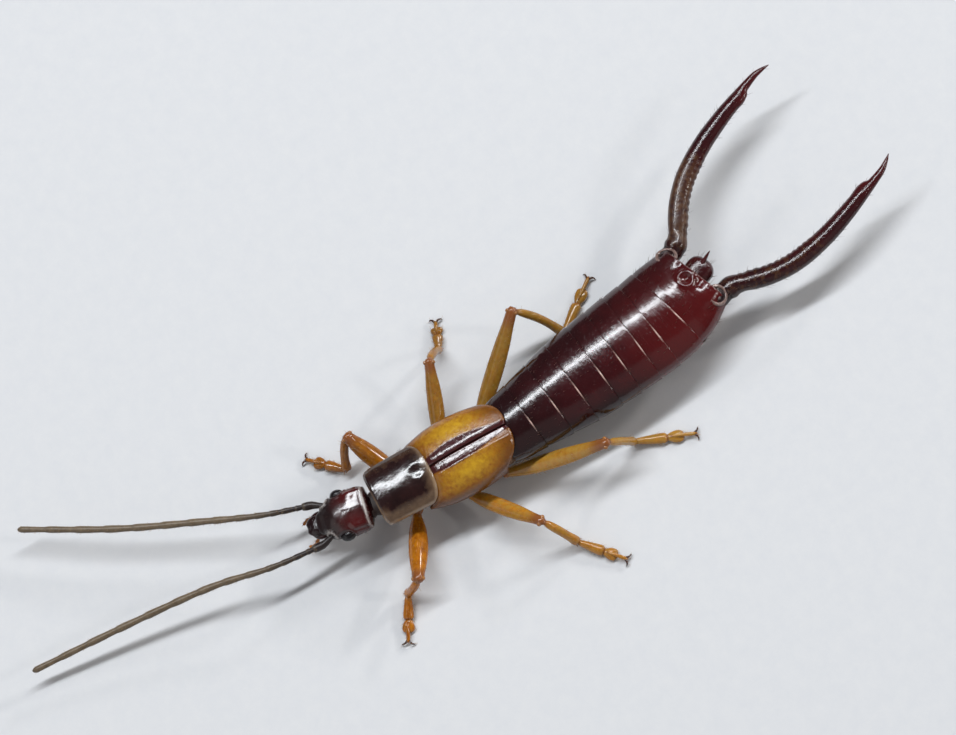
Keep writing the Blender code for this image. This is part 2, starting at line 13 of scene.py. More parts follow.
import bmesh
import bpy
from mathutils import Matrix, Vector
from mathutils.kdtree import KDTree


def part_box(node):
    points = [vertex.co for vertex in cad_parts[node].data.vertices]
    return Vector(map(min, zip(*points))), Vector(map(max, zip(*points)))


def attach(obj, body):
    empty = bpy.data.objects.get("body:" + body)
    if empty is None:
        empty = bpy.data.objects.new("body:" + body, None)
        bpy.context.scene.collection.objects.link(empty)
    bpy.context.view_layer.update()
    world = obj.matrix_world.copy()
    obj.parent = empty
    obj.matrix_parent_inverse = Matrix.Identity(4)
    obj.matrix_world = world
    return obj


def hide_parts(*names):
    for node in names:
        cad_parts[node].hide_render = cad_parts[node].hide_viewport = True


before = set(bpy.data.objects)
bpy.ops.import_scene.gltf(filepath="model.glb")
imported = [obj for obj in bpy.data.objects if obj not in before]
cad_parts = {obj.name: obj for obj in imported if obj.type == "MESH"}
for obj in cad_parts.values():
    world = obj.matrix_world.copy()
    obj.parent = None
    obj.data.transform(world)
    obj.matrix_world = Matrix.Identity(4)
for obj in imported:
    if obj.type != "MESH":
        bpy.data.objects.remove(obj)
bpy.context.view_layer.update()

MM = 0.001
PRONOTUM_REAR_TIP = -0.02
shield_low, shield_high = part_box("pronotum")
SHIFT = Vector(((shield_low.x + shield_high.x) / 2, shield_high.y - PRONOTUM_REAR_TIP * MM, 0))

# The photograph's view
PICTURE_WIDTH = 956
PICTURE_HEIGHT = 735
PIXELS_PER_MM = 38.4
VIEW_TILT = radians(17)
VIEW_ROLL = radians(31.34)
VIEW_TURN = radians(2.87)
KNOWN_POINT = Vector((0.1, 0, 1.7))
KNOWN_PIXEL = (432, 470)
CAMERA_DISTANCE = 150
SENSOR_WIDTH = 36
CLIP_START = 0.001
CLIP_END = 20

# The studio: name, place, place shone on, size in metres, watts and colour of each soft light
LAMP = (0.050, 0.022)
WARM = (1.0, 0.98, 0.95)
LIGHTS = [
    ("long window", (-102, 20, 230), (0, 3, 1), (0.020, 0.30), 0.66, (0.92, 0.96, 1.0)),
    ("front sheet", (110, -330, 180), (0, 0, 1), (0.50, 0.25), 0.28, (1.0, 0.98, 0.97)),
    ("side sheet", (330, -60, 210), (0, 0, 1), (0.50, 0.60), 0.20, (1.0, 0.98, 0.96)),
    ("right rear lamp", (-60, 330, 150), (0, 0, 1), LAMP, 0.34, WARM),
    ("left rear lamp", (150, 300, 200), (0, 0, 1), LAMP, 0.18, WARM),
    ("leg lamp", (-184, 312, 157), (1, -1, 1), (0.034, 0.034), 0.22, WARM),
]
WORLD_COLOUR = (0.86, 0.91, 1.0, 1)
WORLD_STRENGTH = 0.10
FLOOR_RADIUS = 2.5

# Body
HEAD_HEIGHT = 1.16
THORAX_HEIGHT = 1.12
ABDOMEN_HEIGHT = 1.22
TAIL_HEIGHT = 1.27
GAP = 0.15
THORAX_FRONT = -1.62
HEAD_YAW = radians(11)
HEAD_PITCH = radians(9)
NECK_HALF_WIDTH = 0.27
EYE_RADII = (0.155, 0.20, 0.17)
EYE_PLACE = (0.84, 0.56, 0.05)
MOUTH_FORWARD = 1.58
PRONOTUM_FRONT = -1.70
PRONOTUM_SIDE_REAR = -0.42
PRONOTUM_REAR_BULGE = 0.40
PRONOTUM_HALF_WIDTHS = (0.79, 0.85)
PRONOTUM_EDGE_HEIGHT = 1.36
PRONOTUM_RISE = 0.47
TEGMEN_REAR = 2.30
TEGMEN_AXIS_HEIGHT = 1.25
ABDOMEN_START = (-0.05, TEGMEN_REAR + GAP)
ABDOMEN_HEADING = radians(8)
TAIL_HEADING = radians(23)
TAIL_TURN_START = 3.9
TAIL_TURN_LENGTH = 1.9
SEGMENT_LENGTHS = [0.37, 0.755, 0.72, 0.735, 0.61, 0.62, 0.55, 0.65]
SEGMENT_STEP = 0.026
LAST_TERGITE_LENGTH = 1.15
FORCEPS_LENGTH = 5.45

# Legs: hip, end of the hip piece, knee with its height, ankle and toes
LEGS = {
    "front_left": ((0.36, -0.80), (0.66, -0.95), (2.38, -1.68, 1.15), (2.31, -2.12), (3.36, -2.67)),
    "front_right": ((-0.36, -0.80), (-0.64, -0.92), (-1.99, -1.59, 1.20), (-1.45, -2.02), (-2.22, -2.80)),
    "middle_left": ((0.42, 0.35), (0.76, 0.50), (2.58, 1.88, 1.15), (3.28, 2.43), (4.22, 3.28)),
    "middle_right": ((-0.42, 0.35), (-0.76, 0.48), (-2.69, 1.26, 1.25), (-3.16, 1.61), (-3.86, 1.86)),
    "hind_left": ((0.44, 1.40), (0.78, 1.62), (1.71, 4.33, 1.72), (1.62, 4.97), (2.16, 6.40)),
    "hind_right": ((-0.44, 1.40), (-0.76, 1.58), (-2.71, 3.81, 1.60), (-1.90, 4.72), (-2.88, 5.90)),
}
HIP_HEIGHT = 0.42
HIP_END_HEIGHT = 0.50
ANKLE_HEIGHT = 0.24
FEMUR_SAG = 0.12

UP = Vector((0, 0, 1))


def ease(t):
    t = min(max(t, 0), 1)
    return t * t * (3 - 2 * t)


def squircle(angle, squareness):
    """A point on a unit circle made squarer, as across and up."""
    across, up = cos(angle), sin(angle)
    size = (abs(across) ** squareness + abs(up) ** squareness) ** (-1 / squareness)
    return across * size, up * size


def bell(distance, width):
    """1 at no distance, falling smoothly to nothing over about twice the width."""
    return exp(-((distance / width) ** 2))


def row_slope(rows, index, column):
    before = rows[max(index - 1, 0)]
    after = rows[min(index + 1, len(rows) - 1)]
    return (after[column] - before[column]) / (after[0] - before[0])


def curve_value(rows, position):
    """The row at a position, on a smooth curve through rows that start with their own position."""
    last = len(rows) - 1
    position = min(max(position, rows[0][0]), rows[last][0])
    index = 0
    while index < last - 1 and position > rows[index + 1][0]:
        index += 1
    span = rows[index + 1][0] - rows[index][0]
    t = (position - rows[index][0]) / span
    result = []
    for column in range(1, len(rows[0])):
        here = rows[index][column]
        there = rows[index + 1][column]
        slope_here = row_slope(rows, index, column) * span
        slope_there = row_slope(rows, index + 1, column) * span
        value = (2 * t**3 - 3 * t**2 + 1) * here + (t**3 - 2 * t**2 + t) * slope_here
        value += (3 * t**2 - 2 * t**3) * there + (t**3 - t**2) * slope_there
        result.append(value)
    return result


def smooth_path(guides, count):
    rows = [(index, *guide) for index, guide in enumerate(guides)]
    last = len(rows) - 1
    return [Vector(curve_value(rows, last * step / (count - 1))) for step in range(count)]


def steps_between(first, last, count):
    return [first + (last - first) * step / (count - 1) for step in range(count)]


def turns(count, offset=0):
    """Angles evenly round a circle, the first of them a share of a step on from 0."""
    return [2 * pi * (step + offset) / count for step in range(count)]


def on_oval(spot, radii):
    """A point of the unit ball, on an oval ball of these radii."""
    return Vector([value * radius for value, radius in zip(spot, radii)])


def distance_to_line(point, start, end):
    along = Vector(end) - Vector(start)
    offset = Vector(point) - Vector(start)
    share = min(max(offset.dot(along) / along.length_squared, 0), 1)
    return (offset - along * share).length


def per_point(values, rows):
    """One value for each point, from one number, a number for each row, or a list for each row."""
    if isinstance(values, (int, float)):
        values = [values] * len(rows)
    result = []
    for value, row in zip(values, rows):
        result.extend([value] * len(row) if isinstance(value, (int, float)) else value)
    return result


class Form:
    """The points, faces and painted masks of one piece."""

    def __init__(self):
        self.points = []
        self.faces = []
        self.masks = {}

    def add_grid(self, rows, hoop=False, **masks):
        """Joins rows of points to a tube, closed at both ends or, as a hoop, onto itself."""
        first = len(self.points)
        count = len(rows[0])
        for name, values in masks.items():
            held = self.masks.setdefault(name, [])
            held.extend([0.0] * (first - len(held)))
            held.extend(per_point(values, rows))
        for row in rows:
            self.points.extend(row)
        for line in range(len(rows) if hoop else len(rows) - 1):
            here = first + line * count
            there = first + (line + 1) % len(rows) * count
            for index in range(count):
                after = (index + 1) % count
                self.faces.append((here + index, here + after, there + after, there + index))
        if not hoop:
            self.faces.append(tuple(range(first, first + count)))
            self.faces.append(tuple(range(len(self.points) - count, len(self.points))))

    def add_skin(self, lines, columns, spot):
        """Adds a closed skin. spot gives a place, its inside if the skin is a shell, and the masks there."""
        rows = []
        masks = {}
        for line in lines:
            spots = [spot(line, column) for column in columns]
            insides = [inside for _, inside, _ in spots if inside is not None]
            rows.append([place for place, _, _ in spots] + insides[::-1])
            for name in spots[0][2]:
                values = [painted[name] for _, _, painted in spots]
                masks.setdefault(name, []).append(values + values[::-1] if insides else values)
        self.add_grid(rows, **masks)

    def add_plate(self, profile, lines, sides, squareness, place_at, **masks):
        """Adds a thick plate. Its profile has rows of distance, half width, height above and depth below."""
        rows = []
        for distance in steps_between(profile[0][0], profile[-1][0], lines):
            half_width, rise, drop = curve_value(profile, distance)
            row = []
            for angle in turns(sides):
                across, up = squircle(angle, squareness)
                row.append(place_at(distance, half_width * across, (rise if up > 0 else drop) * up))
            rows.append(row)
        self.add_grid(rows, **masks)

    def add_sweep(self, points, widths, sides, flat=1, heights=None, shape=None, **masks):
        """Adds a limb, oval in section. shape gives a factor from the share of its length and the angle."""
        rows = []
        last = len(points) - 1
        heights = heights or [width * flat for width in widths]
        for index, (point, width, height) in enumerate(zip(points, widths, heights)):
            onward = (points[min(index + 1, last)] - points[max(index - 1, 0)]).normalized()
            side = onward.cross(UP).normalized()
            up = side.cross(onward)
            row = []
            for angle in turns(sides):
                factor = shape(index / last, angle) if shape else 1
                row.append(point + (side * width * cos(angle) + up * height * sin(angle)) * factor)
            rows.append(row)
        self.add_grid(rows, **masks)

    def add_dome(self, centre, radii, turn=Matrix.Identity(3), sides=28, **masks):
        """Adds a rounded knob, a closed oval ball."""
        rows = []
        for fall in turns(sides)[1:sides // 2]:
            ring = [(sin(fall) * cos(angle), sin(fall) * sin(angle), cos(fall))
                    for angle in turns(sides)]
            rows.append([centre + turn @ on_oval(spot, radii) for spot in ring])
        self.add_grid(rows, **masks)


def new_item(name, data):
    """A new object in the scene that shows the data."""
    item = bpy.data.objects.new(name, data)
    bpy.context.scene.collection.objects.link(item)
    return item


def stand_item(item, place, right, up, back):
    """Puts a camera or a lamp at a place, turned by its own directions."""
    turn = Matrix((right, up, back)).transposed().to_4x4()
    item.matrix_world = Matrix.Translation(place * MM + SHIFT) @ turn


def make_piece(name, form, material, stands_for=()):
    """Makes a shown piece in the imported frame, with its masks as attributes."""
    mesh = bpy.data.meshes.new(name)
    mesh.from_pydata([point * MM + SHIFT for point in form.points], [], form.faces)
    for mask, values in form.masks.items():
        layer = mesh.attributes.new(mask, "FLOAT", "POINT")
        layer.data.foreach_set("value", values + [0.0] * (len(form.points) - len(values)))
    bm = bmesh.new()
    bm.from_mesh(mesh)
    bmesh.ops.recalc_face_normals(bm, faces=bm.faces)
    bm.to_mesh(mesh)
    bm.free()
    mesh.shade_smooth()
    mesh.materials.append(material)
    item = new_item(name, mesh)
    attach(item, "root")
    if stands_for:
        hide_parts(*stands_for)
    return item


# Camera, lights and floor


def photo_camera():
    along = Vector((-sin(VIEW_TURN), cos(VIEW_TURN), 0))
    across = Vector((cos(VIEW_TURN), sin(VIEW_TURN), 0))
    slope = across * cos(VIEW_TILT) - UP * sin(VIEW_TILT)
    back = across * sin(VIEW_TILT) + UP * cos(VIEW_TILT)
    right = along * cos(VIEW_ROLL) + slope * sin(VIEW_ROLL)
    upward = along * sin(VIEW_ROLL) - slope * cos(VIEW_ROLL)
    right_offset = (PICTURE_WIDTH / 2 - KNOWN_PIXEL[0]) / PIXELS_PER_MM
    up_offset = (KNOWN_PIXEL[1] - PICTURE_HEIGHT / 2) / PIXELS_PER_MM
    target = KNOWN_POINT + right * right_offset + upward * up_offset
    data = bpy.data.cameras.new("camera")
    data.sensor_width = SENSOR_WIDTH
    data.lens = SENSOR_WIDTH * CAMERA_DISTANCE * PIXELS_PER_MM / PICTURE_WIDTH
    data.clip_start = CLIP_START
    data.clip_end = CLIP_END
    camera = new_item("camera", data)
    stand_item(camera, target + back * CAMERA_DISTANCE, right, upward, back)
    bpy.context.scene.camera = camera


def soft_light(name, place, aim, size, watts, colour):
    """A rectangular soft light at a place, turned to shine on aim, its long side along the body."""
    data = bpy.data.lights.new(name, "AREA")
    data.shape = "RECTANGLE"
    data.size, data.size_y = size
    data.energy = watts
    data.color = colour
    back = (Vector(place) - Vector(aim)).normalized()
    side = Vector((0, 1, 0)).cross(back).normalized()
    stand_item(new_item(name, data), Vector(place), side, back.cross(side), back)


def studio():
    """Lights, surroundings and floor."""
    scene = bpy.context.scene
    scene.view_settings.view_transform = "Standard"
    world = bpy.data.worlds.new("studio")
    world.use_nodes = True
    world.node_tree.nodes["Background"].inputs["Color"].default_value = WORLD_COLOUR
    world.node_tree.nodes["Background"].inputs["Strength"].default_value = WORLD_STRENGTH
    scene.world = world
    for light in LIGHTS:
        soft_light(*light)
    mesh = bpy.data.meshes.new("floor")
    bm = bmesh.new()
    bmesh.ops.create_circle(bm, cap_ends=True, segments=96, radius=FLOOR_RADIUS)
    bm.to_mesh(mesh)
    bm.free()
    mesh.materials.append(floor_finish())
    floor = new_item("floor", mesh)


# Finishes: groups of shader nodes that several of them share


def add_node(tree, kind, inputs=(), **settings):
    """Adds a node, sets its properties, and sets or joins its inputs, given as (socket, value or output)."""
    node = tree.nodes.new("ShaderNode" + kind)
    for name, value in settings.items():
        setattr(node, name, value)
    for socket, value in inputs:
        if isinstance(value, bpy.types.NodeSocket):
            tree.links.new(value, node.inputs[socket])
        else:
            node.inputs[socket].default_value = value
    return node


def new_group(name, inputs, outputs):
    """A shader node group, from the default values of its inputs and the kinds of its outputs."""
    tree = bpy.data.node_groups.new(name, "ShaderNodeTree")
    for socket, value in inputs.items():
        kind = "Color" if isinstance(value, tuple) else "Float"
        made = tree.interface.new_socket(socket, in_out="INPUT", socket_type="NodeSocket" + kind)
        made.default_value = value
    for socket, kind in outputs.items():
        tree.interface.new_socket(socket, in_out="OUTPUT", socket_type="NodeSocket" + kind)
    return tree, tree.nodes.new("NodeGroupInput").outputs, tree.nodes.new("NodeGroupOutput").inputs


def millimetres(tree):
    """The place on the object, in millimetres."""
    place = tree.nodes.new("ShaderNodeTexCoord").outputs["Object"]
    return add_node(tree, "VectorMath", [(0, place), ("Scale", 1000)], operation="SCALE").outputs[0]


def noise_of(tree, place, scale, detail=2, roughness=0.5):
    inputs = [("Vector", place), ("Scale", scale), ("Detail", detail), ("Roughness", roughness)]
    return add_node(tree, "TexNoise", inputs).outputs["Fac"]


def math_of(tree, operation, first, second=0.0, third=0.0, clamp=False):
    inputs = [(0, first), (1, second), (2, third)]
    return add_node(tree, "Math", inputs, operation=operation, use_clamp=clamp).outputs[0]


def mix_of(tree, share, one, other):
    """Two colours, mixed by a share."""
    inputs = [("Factor", share), ("A", one), ("B", other)]
    return add_node(tree, "Mix", inputs, data_type="RGBA").outputs["Result"]


def make_ripple_group():
    """Fine uneven wrinkles across the body, for the height of a bump."""
    inputs = {"Along": 0.0, "Period": 0.08, "Across": 3.5}
    tree, given, result = new_group("cuticle ripples", inputs, {"Height": "Float"})
    wrinkles = math_of(tree, "DIVIDE", given["Along"], given["Period"])
    place = add_node(tree, "SeparateXYZ", [(0, millimetres(tree))]).outputs
    across = math_of(tree, "MULTIPLY", place["X"], given["Across"])
    up = math_of(tree, "MULTIPLY", place["Z"], given["Across"])
    stretched = add_node(tree, "CombineXYZ", [("X", wrinkles), ("Y", across), ("Z", up)]).outputs[0]
    tree.links.new(noise_of(tree, stretched, 1.0, 2, 0.6), result["Height"])
    return tree


# How large the pits are, and how strongly the mottle parts the two colours
PIT_SIZE = 0.22
MOTTLE_CONTRAST = 2.4
MOTTLE_SHIFT = -0.7


def make_grain_group():
    """Leathery grain and small pits, for the height of a bump, and a mottle for colour and gloss."""
    inputs = {"Grain Scale": 40.0, "Pit Scale": 14.0, "Pit Depth": 0.6, "Mottle Scale": 2.2}
    tree, given, result = new_group("cuticle grain", inputs, {"Height": "Float", "Mottle": "Float"})
    place = millimetres(tree)
    grain = noise_of(tree, place, given["Grain Scale"], 4)
    cells = add_node(tree, "TexVoronoi", [("Vector", place), ("Scale", given["Pit Scale"])])
    pit = math_of(tree, "LESS_THAN", cells.outputs["Distance"], PIT_SIZE)
    floor_of_pit = math_of(tree, "MULTIPLY", pit, given["Pit Depth"])
    tree.links.new(math_of(tree, "SUBTRACT", grain, floor_of_pit), result["Height"])
    cloud = noise_of(tree, place, given["Mottle Scale"], 6, 0.72)
    mottle = math_of(tree, "MULTIPLY_ADD", cloud, MOTTLE_CONTRAST, MOTTLE_SHIFT, clamp=True)
    tree.links.new(mottle, result["Mottle"])
    return tree


def make_mark_group():
    """Lays one colour over another where a mask is painted, with an edge that noise breaks up."""
    inputs = {"Under": (0, 0, 0, 1), "Over": (1, 1, 1, 1), "Mask": 0.0, "Breakup": 0.3, "Breakup Scale": 12.0}
    tree, given, result = new_group("painted mark", inputs, {"Colour": "Color"})
    cloud = noise_of(tree, millimetres(tree), given["Breakup Scale"])
    centred = math_of(tree, "SUBTRACT", cloud, 0.5)
    edge = math_of(tree, "MULTIPLY_ADD", centred, given["Breakup"], given["Mask"])
    inside = math_of(tree, "GREATER_THAN", given["Mask"], 0.001)
    share = math_of(tree, "MULTIPLY", edge, inside, clamp=True)
    tree.links.new(mix_of(tree, share, given["Under"], given["Over"]), result["Colour"])
    return tree


RIPPLES = make_ripple_group()
GRAIN = make_grain_group()
MARK = make_mark_group()

# How far a material's gloss wanders with its mottle
GLOSS_RANGE = 0.06

# How much duller a wrinkle's crest is than its valley
RIPPLE_DULLING = 0.05

# How much of the grain a mask for smoothness takes away
SMOOTHING = 0.85


def make_finish(name, gloss, colours, grain, depth, marks=(), ripples=None, coat=None,
                duller=None, smoother=None, **constants):
    """A material of two colours that mottle into each other, with a grain, painted marks and a gloss.

    grain: scale of the grain, scale and depth of the pits, scale of the mottle. depth: of the relief, in mm.
    marks: colour, mask, breakup of the edge and its scale. ripples: depth and period, in mm.
    coat: weight and roughness of a clear coat. duller: a mask and its effect on the gloss.
    smoother: a mask that takes the grain away.
    """
    material = bpy.data.materials.new(name)
    material.use_nodes = True
    tree = material.node_tree
    shader = tree.nodes["Principled BSDF"]
    if coat:
        constants.update(Coat_Weight=coat[0], Coat_Roughness=coat[1])
    for socket, value in constants.items():
        shader.inputs[socket.replace("_", " ")].default_value = value

    def group(kind, **inputs):
        pairs = [(socket.replace("_", " "), value) for socket, value in inputs.items()]
        return add_node(tree, "Group", pairs, node_tree=kind).outputs

    def mask(attribute):
        return add_node(tree, "Attribute", attribute_name=attribute).outputs["Fac"]

    grained = group(GRAIN, **dict(zip(("Grain Scale", "Pit Scale", "Pit Depth", "Mottle Scale"), grain)))
    colour = mix_of(tree, grained["Mottle"], *[(*value, 1) for value in colours])
    for over, attribute, breakup, scale in marks:
        colour = group(MARK, Under=colour, Over=(*over, 1), Mask=mask(attribute), Breakup=breakup,
                       Breakup_Scale=scale)["Colour"]
    height = math_of(tree, "MULTIPLY", grained["Height"], depth)
    if smoother:
        left_over = math_of(tree, "MULTIPLY_ADD", mask(smoother), -SMOOTHING, 1.0)
        height = math_of(tree, "MULTIPLY", height, left_over)
    rough = math_of(tree, "MULTIPLY_ADD", grained["Mottle"], GLOSS_RANGE, gloss - GLOSS_RANGE / 2)
    if duller:
        rough = math_of(tree, "MULTIPLY_ADD", mask(duller[0]), duller[1], rough, clamp=True)
    if ripples:
        ripple = group(RIPPLES, Along=mask("along"), Period=ripples[1])["Height"]
        height = math_of(tree, "MULTIPLY_ADD", ripple, ripples[0], height)
        rough = math_of(tree, "MULTIPLY_ADD", ripple, RIPPLE_DULLING, rough, clamp=True)
    bump = add_node(tree, "Bump", [("Height", height), ("Distance", MM), ("Strength", 1.0)])
    for socket, value in (("Normal", bump.outputs["Normal"]), ("Roughness", rough), ("Base Color", colour)):
        tree.links.new(value, shader.inputs[socket])
    return material


def mahogany(name, colours, gloss, grain, depth, ripples=None, rim=(0.620, 0.430, 0.370)):
    # Marks: a paler underside; dark tone and painted shade; a red glow, partly painted light; a painted sheen
    # of reflected light; pale rims carrying painted glints.
    marks = [
        ((0.060, 0.022, 0.012), "underside", 0.3, 5),
        ((0.006, 0.002, 0.002), "shade", 0.25, 3),
        ((0.085, 0.005, 0.005), "glow", 0.3, 4),
        ((0.150, 0.072, 0.026), "gilt", 1.2, 7),
        (rim, "rim", 0.5, 22),
    ]
    return make_finish(name, gloss, colours, grain, depth, marks, ripples,
                       coat=(0.25, 0.08), duller=("worn", 0.16), IOR=1.48)


def shield_finish():
    # Haze and rims: the clear margins' paler tone, made stronger on the left side as painted light.
    marks = [((0.135, 0.080, 0.046), "haze", 0.8, 6), ((0.300, 0.200, 0.120), "rim", 0.5, 9)]
    colours = ((0.009, 0.003, 0.003), (0.024, 0.007, 0.006))
    return make_finish("black-brown shield with clear rims", 0.15, colours, (8, 14, 0.3), 0.0060, marks,
                       coat=(0.20, 0.07), IOR=1.48)


def wing_case_finish():
    marks = [
        ((0.520, 0.285, 0.014), "blaze", 1.3, 9),
        ((0.120, 0.036, 0.004), "shade", 0.9, 9),
        ((0.050, 0.009, 0.010), "stripe", 0.25, 6),
    ]
    colours = ((0.180, 0.052, 0.003), (0.350, 0.130, 0.006))
    return make_finish("yellow ochre wing case", 0.22, colours, (24, 13, 0.8, 5.0), 0.0065, marks,
                       ripples=(0.0130, 0.10), coat=(0.20, 0.12), duller=("stripe", -0.10),
                       smoother="stripe", IOR=1.48)


def leg_finish():
    marks = [
        ((0.400, 0.235, 0.040), "olive", 1.2, 7),
        # Painted shade for the right legs, away from the light.
        ((0.120, 0.050, 0.006), "painted_leg_shade", 0.6, 9),
        ((0.230, 0.075, 0.020), "joint", 0.5, 7),
        ((0.045, 0.016, 0.010), "claw", 0.3, 20),
        ((0.420, 0.240, 0.110), "rim", 0.3, 20),
    ]
    colours = ((0.215, 0.050, 0.002), (0.540, 0.195, 0.008))
    return make_finish("amber leg", 0.17, colours, (26, 12, 0.5, 7.5), 0.0013, marks,
                       coat=(0.20, 0.08), IOR=1.46, Subsurface_Weight=0.12, Subsurface_Scale=0.0002,
                       Subsurface_Radius=(1.0, 0.5, 0.15))


def feeler_finish():
    marks = [((0.014, 0.007, 0.006), "base", 0.3, 3), ((0.110, 0.080, 0.050), "joint", 0.4, 16)]
    colours = ((0.088, 0.060, 0.034), (0.180, 0.130, 0.078))
    return make_finish("tan feeler", 0.38, colours, (60, 20, 0.4, 6.0), 0.0020, marks, IOR=1.5)


def membrane_finish():
    marks = [((0.260, 0.100, 0.016), "plate", 0.3, 5), ((0.022, 0.009, 0.006), "shade", 0.3, 5)]
    colours = ((0.110, 0.052, 0.020), (0.200, 0.110, 0.050))
    return make_finish("soft skin between plates", 0.5, colours, (26, 12, 0.3), 0.006, marks, IOR=1.45)


def eye_finish():
    colours = ((0.003, 0.002, 0.003), (0.007, 0.004, 0.005))
    return make_finish("black eye", 0.14, colours, (90, 30, 0), 0.0003, IOR=1.45)


def bristle_finish(name, colour):
    return make_finish(name, 0.35, (colour, [value * 1.6 for value in colour]), (30, 12, 0), 0.0005, IOR=1.5)


def floor_finish():
    colours = ((0.62, 0.625, 0.64), (0.66, 0.66, 0.665))
    return make_finish("pale floor", 0.65, colours, (1.2, 0.5, 0), 0.004, IOR=1.4)


# Abdomen
BENT_LINE_STEPS = 60


def abdomen_heading(distance):
    turn = ease((distance - TAIL_TURN_START) / TAIL_TURN_LENGTH)
    return ABDOMEN_HEADING + (TAIL_HEADING - ABDOMEN_HEADING) * turn


def abdomen_length():
    return sum(SEGMENT_LENGTHS) + LAST_TERGITE_LENGTH


def abdomen_frame(distance):
    """Centre and side direction of the abdomen, found by walking its bent line."""
    x, y = ABDOMEN_START
    for step in range(BENT_LINE_STEPS):
        heading = abdomen_heading(distance * (step + 0.5) / BENT_LINE_STEPS)
        x -= sin(heading) * distance / BENT_LINE_STEPS
        y += cos(heading) * distance / BENT_LINE_STEPS
    heading = abdomen_heading(distance)
    rise = (TAIL_HEIGHT - ABDOMEN_HEIGHT) * distance / abdomen_length()
    return Vector((x, y, ABDOMEN_HEIGHT + rise)), Vector((cos(heading), sin(heading), 0))


# Distance back, half width, height above and depth below the middle line
ABDOMEN_ROWS = [
    (-0.60, 0.84, 0.50, 0.52),
    (-0.15, 0.95, 0.60, 0.59),
    (0.00, 0.96, 0.62, 0.60),
    (1.00, 1.12, 0.67, 0.64),
    (2.00, 1.27, 0.71, 0.66),
    (3.20, 1.34, 0.73, 0.66),
    (4.60, 1.36, 0.71, 0.62),
    (5.40, 1.29, 0.66, 0.57),
    (6.16, 1.10, 0.56, 0.50),
]
ABDOMEN_SIDES = 96
ABDOMEN_SQUARENESS = 2.04
SIDE_FOLD_ANGLE = radians(-18)
SIDE_FOLD_DEPTH = 0.04

# The pale rims are painted only in a band up from the left side, centred here: painted glints of the light on
# the rims' lips
RIM_GLINT_ANGLE = radians(68)
RIM_GLINT_WIDTH = 0.165

# The gland folds: height by ring, angle up from the side, and share of the ring's length
GLAND_FOLD_HEIGHTS = {1: 0.025, 2: 0.060}
GLAND_FOLD_ANGLE = radians(38)
GLAND_FOLD_SHARE = 0.66

# How far the first ring runs on under the wing cases
FRONT_RING_LENGTH = 0.55

# Share of a segment's length, distance past it, depth below its rim and paleness of the rim
SEGMENT_PROFILE = [
    (0.00, -0.05, 1.40, 0.0),
    (0.00, 0.00, 1.10, 0.0),
    (0.00, 0.03, 0.85, 0.0),
    (0.08, 0.02, 0.62, 0.0),
    (0.18, 0.0, 0.42, 0.0),
    (0.32, 0.0, 0.26, 0.0),
    (0.48, 0.0, 0.14, 0.0),
    (0.64, 0.0, 0.06, 0.0),
    (0.80, 0.0, 0.02, 0.0),
    (1.00, -0.09, 0.0, 0.0),
    (1.00, -0.040, -0.05, 0.0),
    (1.00, -0.022, -0.05, 0.7),
    (1.00, -0.006, 0.10, 1.0),
    (1.00, 0.002, 0.40, 0.8),
    (1.00, -0.004, 0.80, 0.2),
    (1.00, -0.02, 1.20, 0.0),
]


def abdomen_point(distance, angle, inset):
    half_width, rise, drop = curve_value(ABDOMEN_ROWS, distance)
    centre, side = ABDOMEN_FRAMES[round(distance, 4)]
    across, up = squircle(angle, ABDOMEN_SQUARENESS)
    inset += SIDE_FOLD_DEPTH * ease((SIDE_FOLD_ANGLE - asin(sin(angle))) / 0.30)
    height = rise if up > 0 else drop
    return centre + side * (half_width - inset) * across + UP * (height - inset) * up


class Frames(dict):
    """The abdomen's frame at each distance, worked out once."""

    def __missing__(self, distance):
        self[distance] = abdomen_frame(distance)
        return self[distance]


ABDOMEN_FRAMES = Frames()


def gland_fold(index, share, angle):
    """The small raised fold on each side of the third and fourth plates."""
    if index not in GLAND_FOLD_HEIGHTS:
        return 0
    offset = abs(atan2(sin(angle), abs(cos(angle))) - GLAND_FOLD_ANGLE)
    return GLAND_FOLD_HEIGHTS[index] * bell(offset, 0.09) * bell(share - GLAND_FOLD_SHARE, 0.12)


def redness(angle):
    """How red the hind plates show: their own red, painted lighter and redder on the left side where the
    light falls, as painted light.
    """
    return 0.8 * (0.65 + 0.55 * cos(angle))


def side_shade(angle):
    """Painted shade: darker from the middle line down to the flanks, and darker still on the right side, away
    from the light.
    """
    flank = 0.7 * ease((abs(cos(angle)) - 0.70) / 0.30)
    return max(flank, 0.5 * ease((-cos(angle) - 0.05) / 0.60))


def lowness(angle):
    """How far a place lies on the underside."""
    return ease(-sin(angle) * 3 - 0.3)


def abdomen(material):
    """Eight rings, each with a pale hind rim that stands over the front of the next."""
    form = Form()
    lines = []
    start = -FRONT_RING_LENGTH
    for index, length in enumerate([FRONT_RING_LENGTH + SEGMENT_LENGTHS[0], *SEGMENT_LENGTHS[1:]]):
        for share, past, depth, paleness in SEGMENT_PROFILE:
            distance = max(start + length * share + past, -FRONT_RING_LENGTH)
            lines.append((distance, index, share, depth, paleness))
        start += length

    def spot(line, angle):
        distance, index, share, depth, paleness = line
        # Painted shade: darker at the front, under the wing cases, and in the crease of each seam.
        front = 0.65 * (1 - ease(distance / 1.8))
        seam = 0.9 * (depth > 1.05)
        return abdomen_point(distance, angle, SEGMENT_STEP * depth - gland_fold(index, share, angle)), None, {
            "rim": paleness * bell(angle - RIM_GLINT_ANGLE, RIM_GLINT_WIDTH),
            "along": distance,
            "underside": lowness(angle),
            "shade": max(side_shade(angle), front, seam),
            "glow": ease((distance - 2.4) / 2.2) * redness(angle),
        }

    form.add_skin(lines, turns(ABDOMEN_SIDES, 0.5), spot)
    return make_piece("abdomen_rings", form, material, ["abdomen"])


